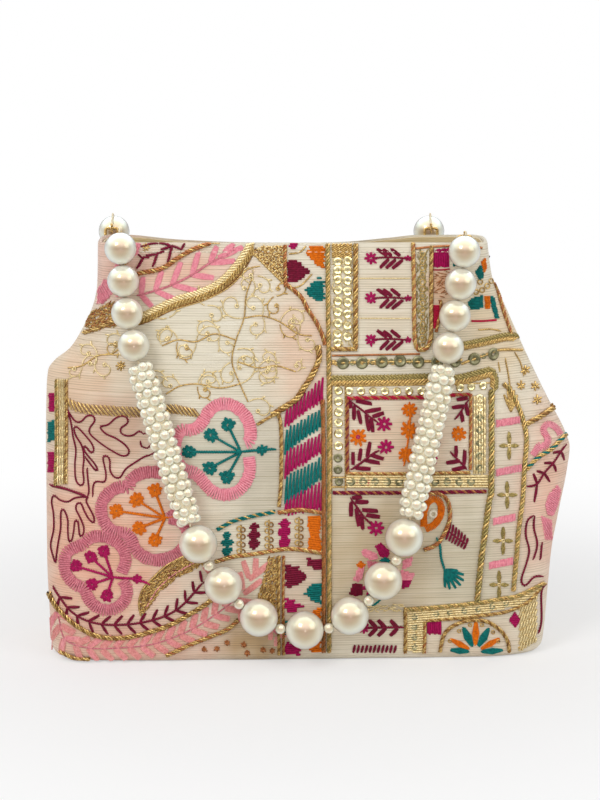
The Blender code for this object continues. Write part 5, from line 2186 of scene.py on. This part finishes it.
        self.dull.row([(479.5, d) for d in (418, 430, 443, 456, 468)], 4.4)
        for down in (477.5, 487):
            n.run(GOLD, [(332, down), (400, down), (485, down - 1)], 1.8)
        n.twist(WINE, pairs(333, 492.8, 400, 492.6, 486, 491.5), 4.5, COPPER)
        n.blades(RED, [(foot, 486, foot + 2, 478) for foot in range(356, 376, 4)], 2.4)

    def cream_field(self) -> None:
        """Work the sprig at the top left of the cream field."""
        n = self.needle
        self.sprig(WINE, pairs(350, 498, 357, 507, 364, 517, 372, 525),
                   [(355, 502, 369, 502), (362, 510, 378, 511), (366, 515, 380, 517), (351, 502, 351, 517),
                    (356, 508, 359, 527), (361, 514, 363, 530), (352, 498, 362, 497)], 3.0)
        n.floret(MAGENTA, (376, 528), 8, 8, 3.2)

    def flower(self) -> None:
        """Work the flower of several colours."""
        n = self.needle
        for thread, corners, angle in (
                (MAGENTA, pairs(375, 546, 381, 543, 390, 551, 387, 558, 380, 557), 60),
                (PINK, pairs(361, 551, 366, 549, 377, 554, 378, 560, 370, 560, 363, 556), 10),
                (TEAL, pairs(379, 560, 386, 557, 391, 561, 384, 565), 0),
                (ORANGE, pairs(356, 565, 361, 561, 366, 565, 361, 569), 0),
                (PINK, pairs(353, 580, 358, 568, 364, 566, 363, 578, 358, 582), 80),
                (WINE, pairs(353, 583, 362, 584, 363, 595, 355, 596, 349, 594), 90),
                (PINK, pairs(403, 560, 413, 557, 411, 566, 402, 570), 0),
                (PINK, pairs(401, 570, 415, 574, 412, 580, 401, 580), 0),
                (MAGENTA, pairs(402, 580, 412, 580, 409, 587, 402, 589), 0),
                (ROSE, pairs(367, 561, 378, 562, 376, 570, 368, 569), 20)):
            n.patch(thread, corners, angle, 1.5, 0.4)
        n.stem(TEAL, pairs(366, 598, 372, 590, 378, 580), 2.4)

    def paisley(self) -> None:
        """Work the orange bud in its copper cord, the wine fir and the teal fan."""
        n = self.needle
        n.satin(ORANGE, pairs(424, 526, 424, 512, 428, 502, 436, 499, 441, 506, 440, 516, 434, 525, 426, 529), 3.4,
                1.4)
        n.ring(CREAM, (433, 514), 3.4, 3.0)
        n.twist(COPPER, pairs(426, 496, 432, 493, 440, 494, 448, 502, 449.5, 519, 444, 534, 436, 545, 424, 550), 5,
                GOLD)
        n.stem(WINE, pairs(448, 531, 457, 538, 467, 545), 2.4)
        for i in range(7):
            across, down = 449 + 2.9 * i, 531.5 + 2.1 * i
            n.blade(WINE, (across, down), (across + 1.5, down - 9.5 + 0.5 * i), 2.6)
            n.blade(WINE, (across, down), (across - 3.0, down + 8.5 - 0.5 * i), 2.6)
        n.stem(TEAL, pairs(436, 538, 440, 546, 441, 558, 445, 571), 3)
        for tip in pairs(445, 588, 450, 590, 456, 589, 461, 586, 464, 581, 464, 575, 458, 571):
            n.blade(TEAL, (445, 570), tip, 3.4, 0.5)

    def bottom_band(self) -> None:
        """Work the frame at the bottom and what stands left of the fan."""
        n = self.needle
        n.seed(PALE_GOLD, pairs(350, 606, 404, 604, 404, 612, 350, 613), 3.0, 4.0, 0.0)
        for corners, angle in ((pairs(406, 610, 440, 608, 500, 600, 530, 591, 544, 584, 538, 591, 520, 605,
                                      478, 615, 426, 620, 424, 652, 406, 652), 4),
                               (pairs(519, 607, 537, 594, 536, 641, 519, 652), 70)):
            n.patch(PALE_GOLD, corners, angle, 2.3, 0.6, 8.0)
            n.seed(GOLD, corners, 4.6, 4.0, 10.0)
        self.sprig(WINE, pairs(363, 628, 384, 627.5, 405, 627),
                   [(foot, 628, foot - 8, tip) for tip in (620, 636) for foot in (377, 386, 398)], 2.8)
        n.floret(MAGENTA, (364, 628), 6, 8, 2.6)
        n.blades(WINE, [(353 + 4.1 * i, 653, 355 + 4.1 * i, 645) for i in range(11)], 2.8)
        n.twist(GOLD, pairs(404, 609.5, 440, 607, 478, 603, 500, 599, 517, 596, 530, 590, 544, 583), 5, GREEN_GOLD)
        n.twist(GOLD, pairs(426, 620.5, 450, 619, 478, 616, 505, 612, 520, 606, 530, 600, 540, 588), 4)
        n.twist(GOLD, pairs(405, 610, 405.5, 630, 405, 653), 4.5)
        n.twist(GOLD, pairs(424.5, 621, 424.5, 636, 424, 653), 4.5, COPPER)
        self.dull.row([(414.5, d) for d in (617, 627, 637, 647)], 3.4)
        n.patch(MAGENTA, pairs(427, 621, 442, 620, 442, 634, 427, 634), 90, 1.8, 0.8)
        n.patch(MAGENTA, pairs(515, 612, 521, 620, 515, 628, 508.6, 620), 0, 1.7, 0.5)
        self.dull.row(pairs(436, 614, 450, 612.5, 464, 611, 478, 609, 492, 606.5, 506, 603.5), 3.4)

    def fan(self) -> None:
        """Work the fan flower under its gold arc."""
        n = self.needle
        n.twist(GOLD, pairs(440, 652, 443, 637, 450, 628, 462, 622, 475, 620, 488, 622, 500, 630, 507, 640,
                            509, 652), 4.5)
        middle, foot, heart = 475.0, 652.0, 0.22
        for thread, across, down, width in (
                (TEAL, 450, 650, 6.5), (ORANGE, 450, 639, 6.0), (TEAL, 463, 627, 8.0), (ORANGE, 476, 621, 7.0),
                (TEAL, 489, 628, 8.0), (ORANGE, 500, 638, 6.0), (TEAL, 503, 650, 6.5)):
            start = (middle + heart * (across - middle), foot + heart * (down - foot))
            n.blade(thread, start, (across, down), width)
        n.rings(GOLD, pairs(450, 641, 459, 631, 470, 625, 482, 625, 493, 632, 498, 641), 1.6, 1.4)

    def star_band(self) -> None:
        """Work the band of gold stars between its two cords."""
        n = self.needle
        n.twist(GREEN_GOLD, pairs(491, 390, 491, 485, 489, 500, 485, 530, 481, 560, 478, 590, 477, 602), 7, GOLD)
        n.twist(GOLD, pairs(503, 384, 510, 391, 519, 410, 524.6, 428, 526, 445, 524, 469, 522, 501, 518, 532,
                            516, 559, 513, 591), 5.5, GREEN_GOLD)
        for a, b, c, d in ((496, 424, 520, 420), (496, 473, 521, 468), (493, 522, 516, 517), (489, 566, 513, 561)):
            n.patch(PINK, [(a, b - 3.5), (c, d - 3.5), (c, d + 3.5), (a, b + 3.5)], 90, 1.6, 0.3)
        for across, down in ((509, 446), (507, 495), (503, 541), (499, 585)):
            for dx, dy in ((0, -14), (0, 14), (-10, 0), (10, 0)):
                n.blade(GREEN_GOLD, (across + 0.1 * dx, down + 0.1 * dy), (across + dx, down + dy), 4.6)
                n.blade(GOLD, (across + 0.1 * dx + 1, down + 0.1 * dy), (across + 0.9 * dx + 1, down + 0.9 * dy), 2.0)
            n.ring(PALE_GOLD, (across, down), 1.4, 1.8)
        for i in range(5):
            n.blade(GOLD, (511, 412), (504 + 3.4 * i, 386 + 4.5 * abs(i - 2)), 3.0)

    def right_edge(self) -> None:
        """Work the florals, the serpent of pink satin and the fishbone at the right edge."""
        n = self.needle
        n.florets(GOLD, pairs(521, 386, 535, 386, 525, 370, 537, 400), 4.5, 6, 1.9)
        n.twist(GOLD, pairs(525, 425, 541, 416, 551, 409, 558, 405), 6.5, DARK_GOLD)
        n.satin(PINK, pairs(533, 455, 540, 445, 543, 448, 548, 440, 543, 430, 548, 424, 556, 428, 560, 434), 3.2, 1.5)
        n.twist(GOLD, pairs(526, 470, 537, 458, 550, 450, 560, 440, 566, 434), 5, TEAL)
        n.stem(WINE, pairs(527, 487, 537, 484, 544, 473, 553, 463, 561, 451, 566, 444), 2.8)
        n.blades(WINE, [(537, 484, 533, 473), (537, 484, 534, 502), (544, 473, 536, 471), (544, 473, 549.6, 482),
                        (553, 463, 544, 463), (553, 463, 556, 472), (561, 451, 553, 453), (561, 451, 564, 460)], 2.8)
        n.patch(PINK, pairs(545, 505, 548, 495, 557, 485, 561, 490, 558, 505, 553, 516, 547, 515), 30)
        n.patch(PINK, pairs(541, 516, 552, 520, 552, 540, 545, 540), 70)
        for points in (pairs(533.6, 515, 527, 521, 525.5, 535, 529, 550, 526, 564, 521, 580, 525, 586, 533.6, 577,
                             543, 576),
                       pairs(534, 516, 533.6, 528, 537, 544, 533, 560), pairs(541.6, 542, 540, 560),
                       pairs(546, 583.6, 541, 591, 541, 620, 538, 633.6)):
            n.stem(WINE, points, 2.6)

    def right_top(self) -> None:
        """Work the small motifs outside the right pearls."""
        n = self.needle
        for thread, corners in ((ORANGE, pairs(481, 262, 485, 258, 487, 268, 484, 273)),
                                (TEAL, pairs(475, 272, 481, 264, 484, 277, 479, 280)),
                                (TEAL, pairs(467, 303, 472, 298, 483, 295, 483, 308, 471, 310)),
                                (ORANGE, pairs(484, 296, 490, 296, 490, 309, 485, 309)),
                                (TEAL, pairs(489, 296, 494, 297, 499, 319, 495, 318, 491, 305))):
            n.patch(thread, corners, 0, 1.6, 0.4)
        n.rings(GOLD, pairs(480, 282, 487, 286, 482, 290, 491, 281, 476, 292), 2.4, 1.6)
        n.run(RED, pairs(471, 321, 483, 321, 496, 320), 2.2)
        n.plait(GOLD, pairs(463, 346, 487, 341, 505, 337, 515, 337), 8, GREEN_GOLD)
        n.twist(COPPER, pairs(495, 282, 502, 308, 511, 334), 4)
        for points in (pairs(505, 358, 509, 380, 510, 396), pairs(514, 352, 520, 362, 524, 376),
                       pairs(498, 362, 500, 372), pairs(478, 330, 490, 329, 501, 331)):
            n.stem(GOLD, points, 2.0, 4.0)

    def rim_stitches(self) -> None:
        """Work the line of top-stitching below the rim."""
        self.needle.blades(CREAM, [(across, 252.0, across + 4.4, 251.9) for across in np.arange(140.0, 478.0, 6.0)],
                           1.2)

    def under_handle(self) -> None:
        """Carry the fields on where the resting handle hides them."""
        n = self.needle
        n.run(GOLD, pairs(424, 361.6, 445, 361, 462, 360), 3.0)
        self.dull.row([(437, 361.5), (455, 361)], 6.5)
        n.plait(GOLD, pairs(425, 379, 442, 379.5, 459, 380), 10, GREEN_GOLD)
        self.bright.row([(434, 391), (447, 390)], 4.2)
        n.twist(RED, pairs(425, 397.5, 440, 397, 455, 395), 4.5, COPPER)
        for down, thread in ((414, MAGENTA), (458, MAGENTA), (436, ORANGE)):
            n.floret(thread, (431, down), 7.0, 8, 3.0)
        n.stem(WINE, pairs(431, 420, 432, 436, 431, 452), 2.4)
        for down in (426.0, 446.0):
            for side in (-1, 1):
                n.blade(WINE, (431, down + 3), (431 + 9 * side, down - 4), 3.2, 0.3)
        n.patch(TEAL, pairs(453, 252, 466, 251, 466, 264, 453, 266), 90, 1.8, 0.8)
        n.run(COPPER, pairs(450, 246, 470, 246, 482, 248), 2.4)
        n.plait(GOLD, pairs(440, 350, 452, 348, 463, 346), 8, GREEN_GOLD)
        n.stem(WINE, pairs(150, 455, 160, 450, 166, 440, 163, 430, 156, 426), 2.2, 4.0)
        n.stem(WINE, pairs(148, 448, 155, 440, 152, 432, 144, 434), 2.2, 4.0)
        n.run(PINK, pairs(112, 246, 118, 262, 121, 282, 117, 296), 4)
        n.florets(GOLD, pairs(112, 252, 124, 262, 128, 288), 4.0, 7, 1.6)
        for centre, thread in (((384, 574), PINK), ((390, 584), ROSE), ((372, 586), MAGENTA)):
            n.floret(thread, centre, 9.0, 7, 4.5)
        n.stem(TEAL, pairs(384, 590, 380, 600, 372, 606), 2.6)
        n.blades(SALMON, [(216, 578, 204, 566), (222, 586, 236, 574), (226, 596, 242, 588)], 6.0, 0.2)
        n.floret(MAGENTA, (349, 628), 6, 8, 2.6)
        n.stem(WINE, pairs(340, 628, 352, 628, 363, 628), 2.4)


class BackEmbroidery:
    """The plainer back: two framing cords and a few gold and silk sprigs."""

    def __init__(self, form: BagForm, view: Viewpoint) -> None:
        """Thread up for the back.

        Args:
            form: The bag's surface.
            view: The camera.
        """
        self.needle = Needle(Chart(form, view, Side.BACK), 11)

    def work(self) -> None:
        """Work the whole back."""
        n = self.needle
        n.twist(GOLD, pairs(126, 262, 230, 263, 330, 263, 488, 262), 5.5, DARK_GOLD)
        n.twist(COPPER, pairs(66, 640, 200, 642, 330, 642, 548, 640), 5.5, GOLD)
        for i in range(5):
            across = 140.0 + 80.0 * i
            for k in range(4):
                down = 330.0 + 78.0 * k
                shift = 40.0 * (k % 2)
                if 95.0 < across + shift < 510.0:
                    self.sprig(across + shift, down, (MAGENTA, TEAL, ORANGE)[(i + k) % 3])
        n.finish("back")

    def sprig(self, across: float, down: float, thread: Thread) -> None:
        """Work one sprig: a flower on a gold stem with paired leaves.

        Args:
            across: Its flower's place across.
            down: Its flower's place down.
            thread: The flower's thread.
        """
        n = self.needle
        n.stem(GOLD, [(across, down + 24), (across + 1, down + 12), (across, down)], 2.2)
        n.floret(thread, (across, down), 7.0, 8, 3.0)
        n.ring(GOLD, (across, down), 1.6, 1.6)
        for side in (-1, 1):
            n.blade(GOLD, (across, down + 20), (across + 9 * side, down + 12), 2.8)


def make_embroidery(form: BagForm, view: Viewpoint) -> None:
    """Work the embroidery of both panels.

    Args:
        form: The bag's surface.
        view: The camera whose grid the front's design is drawn on.
    """
    FrontEmbroidery(form, view).work()
    BackEmbroidery(form, view).work()


@dataclass
class Studio:
    """The pale floor, the soft lamps and the white surround."""

    view: Viewpoint

    def make_floor(self) -> None:
        """Lay the floor, white to the camera apart from the object's own shadow."""
        build = bmesh.new()
        bmesh.ops.create_grid(build, x_segments=1, y_segments=1, size=30.0)
        floor = bpy.data.objects.new("floor", mesh_of(build, "floor"))
        bpy.context.scene.collection.objects.link(floor)
        bench = Surface("white_floor")
        bench.set(Base_Color=tone("#FAFAFA"), Roughness=0.9, Specular_IOR_Level=0.1)
        spot = bench.node("TexCoord").outputs["Object"]
        away = bench.node("VectorMath", {0: spot}, operation="LENGTH").outputs["Value"]
        share = bench.node("MapRange", {"Value": away, "From Min": 0.12, "From Max": 0.42, "To Min": 0.45,
                                        "To Max": 1.0}, interpolation_type="SMOOTHSTEP").outputs["Result"]
        seen = bench.node("LightPath").outputs["Is Camera Ray"]
        mix = bench.node("MixShader", {"Fac": bench.times(seen, share), 1: bench.shader.outputs["BSDF"],
                                       2: bench.node("Emission").outputs["Emission"]})
        out = next(n for n in bench.tree.nodes if n.type == "OUTPUT_MATERIAL")
        bench.feed(out, {"Surface": mix.outputs["Shader"]})
        floor.data.materials.append(bench.material)

    def make_surround(self) -> None:
        """Set the world: white where it is seen, softer where it lights, a bright ceiling in the gloss."""
        world = bpy.data.worlds.new("surround")
        bpy.context.scene.world = world
        world.use_nodes = True
        bench = Bench(world.node_tree)
        path = bench.node("LightPath").outputs
        seen = bench.node("Math", {0: path["Is Camera Ray"], 1: path["Is Transmission Ray"]}, operation="MAXIMUM")
        level = bench.node("MapRange", {"Value": seen.outputs[0], "To Min": 0.57, "To Max": 1.0})
        spot = bench.node("TexCoord").outputs["Generated"]
        up = bench.node("SeparateXYZ", {0: spot}).outputs["Z"]
        sky = bench.node("MapRange", {"Value": up, "From Min": 0.1, "From Max": 0.75, "To Min": 0.35, "To Max": 3.5},
                         interpolation_type="SMOOTHSTEP")
        mirrored = bench.node("Mix", {0: path["Is Glossy Ray"], 2: level.outputs["Result"], 3: sky.outputs["Result"]},
                              data_type="FLOAT")
        bench.feed(world.node_tree.nodes["Background"],
                   {"Color": (1.0, 1.0, 1.0, 1.0), "Strength": mirrored.outputs[0]})

    def make_lamp(self, name: str, place: tuple[float, float, float], watts: float, size: float) -> None:
        """Hang one soft square lamp that faces the bag.

        Args:
            name: Its name.
            place: Where it hangs.
            watts: Its power.
            size: The length of its sides.
        """
        data = bpy.data.lights.new(name, "AREA")
        data.energy = watts
        data.size = size
        lamp = bpy.data.objects.new(name, data)
        bpy.context.scene.collection.objects.link(lamp)
        lamp.location = place
        lamp.rotation_euler = (Vector((0.0, 0.0, 0.1)) - Vector(place)).to_track_quat("-Z", "Y").to_euler()

    def build(self) -> None:
        """Set up the whole studio."""
        self.view.make_camera()
        self.make_floor()
        self.make_surround()
        self.make_lamp("key_lamp", (-0.9, -1.3, 1.5), 12.0, 0.7)
        self.make_lamp("fill_lamp", (1.2, -0.9, 0.9), 4.6, 0.9)
        self.make_lamp("glint_lamp", (0.08, -1.25, 0.24), 0.5, 0.05)
        bpy.context.scene.view_settings.view_transform = "Standard"


# Clouds of colour multiplied into the outer cloth. The peach, pink and orange ones are printed tints; the beige and
# grey ones are painted shade, darkening the lower middle and a few patches where less light falls.
PRINT_AND_SHADE_CLOUDS = (
    Cloud(95.0, 550.0, 90.0, 105.0, "#FFC2B2", 0.85),
    Cloud(78.0, 380.0, 45.0, 50.0, "#FFE2D0", 0.8),
    # Painted shade: a darker, greyer patch at the left.
    Cloud(110.0, 430.0, 50.0, 35.0, "#DFBBAE", 0.8),
    Cloud(140.0, 642.0, 110.0, 26.0, "#F2C4BC", 0.8),
    # Painted shade: this cloud and the next two darken the cloth in beige and grey.
    Cloud(256.0, 640.0, 36.0, 34.0, "#C4A982", 0.9),
    Cloud(262.0, 470.0, 45.0, 62.0, "#DAD8D4", 0.9),
    Cloud(215.0, 450.0, 34.0, 36.0, "#DDE0DC", 0.7),
    Cloud(300.0, 350.0, 34.0, 60.0, "#FFDCCF", 0.7),
    Cloud(180.0, 272.0, 70.0, 24.0, "#FFD3CA", 0.8),
    Cloud(110.0, 260.0, 30.0, 50.0, "#FBC4C8", 0.6),
    # Painted shade: this cloud and the next darken the lower middle.
    Cloud(385.0, 555.0, 95.0, 80.0, "#D4C3A9", 0.85),
    Cloud(470.0, 565.0, 50.0, 70.0, "#DAD7CD", 0.85),
    Cloud(470.0, 640.0, 60.0, 26.0, "#F0E3DC", 0.8),
    Cloud(300.0, 590.0, 26.0, 60.0, "#E6D2CC", 0.7),
    Cloud(405.0, 440.0, 65.0, 42.0, "#F5DED2", 0.9),
    Cloud(390.0, 300.0, 36.0, 62.0, "#F5EEE9", 0.9),
    Cloud(508.0, 490.0, 22.0, 95.0, "#EFE4E0", 0.8),
    Cloud(550.0, 500.0, 30.0, 100.0, "#FFD3CA", 0.85),
    Cloud(495.0, 330.0, 40.0, 50.0, "#FFEDD4", 0.7),
    Cloud(439.0, 286.0, 13.0, 20.0, "#F6C6A6", 0.9),
)


def dress_kept_nodes() -> None:
    """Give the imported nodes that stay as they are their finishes."""
    for node, finish in (("base_board", GREYBOARD), ("snap_socket", PLATED_BRASS), ("snap_stud", PLATED_BRASS)):
        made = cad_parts[node]
        material = FINISHES.of(finish)
        if not made.material_slots:
            made.data.materials.append(material)
        for place in made.material_slots:
            place.link = "OBJECT"
            place.material = material


def make_bags(form: BagForm, view: Viewpoint) -> None:
    """Make the outer bag and its lining.

    Args:
        form: The bag's surface.
        view: The camera.
    """
    outer = SewnBag("outer_cloth", form, view, 0.0, form.base_round, 0.0, 2.0 * MM, form.height, print_and_shade_clouds=PRINT_AND_SHADE_CLOUDS)
    put_up(outer.build(), FINISHES.of(ClothFinish()), Body.BAG, ("outer_shell",))
    inner = SewnBag("lining_bag", form, view, 4.6 * MM, 3.0 * MM, 2.4 * MM, 0.8 * MM, form.height - 1.0 * MM,
                    around=90, rows=70, gathers=0.25 * MM)
    put_up(inner.build(), FINISHES.of(SatinFinish()), Body.BAG, ("lining",))


FRONT_ROUTE = [(-0.684, 0.920), (-0.670, 0.847), (-0.651, 0.777), (-0.538, 0.552), (-0.411, 0.309), (-0.316, 0.205),
               (-0.187, 0.121), (-0.019, 0.088), (0.150, 0.117), (0.268, 0.200), (0.350, 0.297), (0.440, 0.537),
               (0.518, 0.758), (0.544, 0.835), (0.565, 0.910)]
BACK_ROUTE = [(-0.735, 0.920), (-0.720, 0.847), (-0.695, 0.777), (-0.580, 0.545), (-0.455, 0.297), (-0.365, 0.190),
              (-0.245, 0.109), (-0.090, 0.075), (0.065, 0.109), (0.185, 0.190), (0.265, 0.297), (0.345, 0.545),
              (0.420, 0.777), (0.440, 0.847), (0.455, 0.920)]


def make_handles(form: BagForm) -> None:
    """Make both handles.

    Args:
        form: The bag's surface.
    """
    front = Handle(form, Side.FRONT, FRONT_ROUTE, [(-0.695, 4.8 * MM), (0.582, 6.4 * MM)], Body.FRONT_HANDLE)
    back = Handle(form, Side.BACK, BACK_ROUTE, [(-0.745, 3.0 * MM), (0.468, 3.0 * MM)], Body.BACK_HANDLE)
    for handle in (front, back):
        handle.make_string(handle.make_beads())


def main() -> None:
    """Build the whole scene."""
    logging.basicConfig(level=logging.INFO, format="%(message)s")
    form, view = BagForm(), Viewpoint()
    Studio(view).build()
    make_bags(form, view)
    make_handles(form)
    dress_kept_nodes()
    make_embroidery(form, view)


if __name__ == "__main__":
    main()
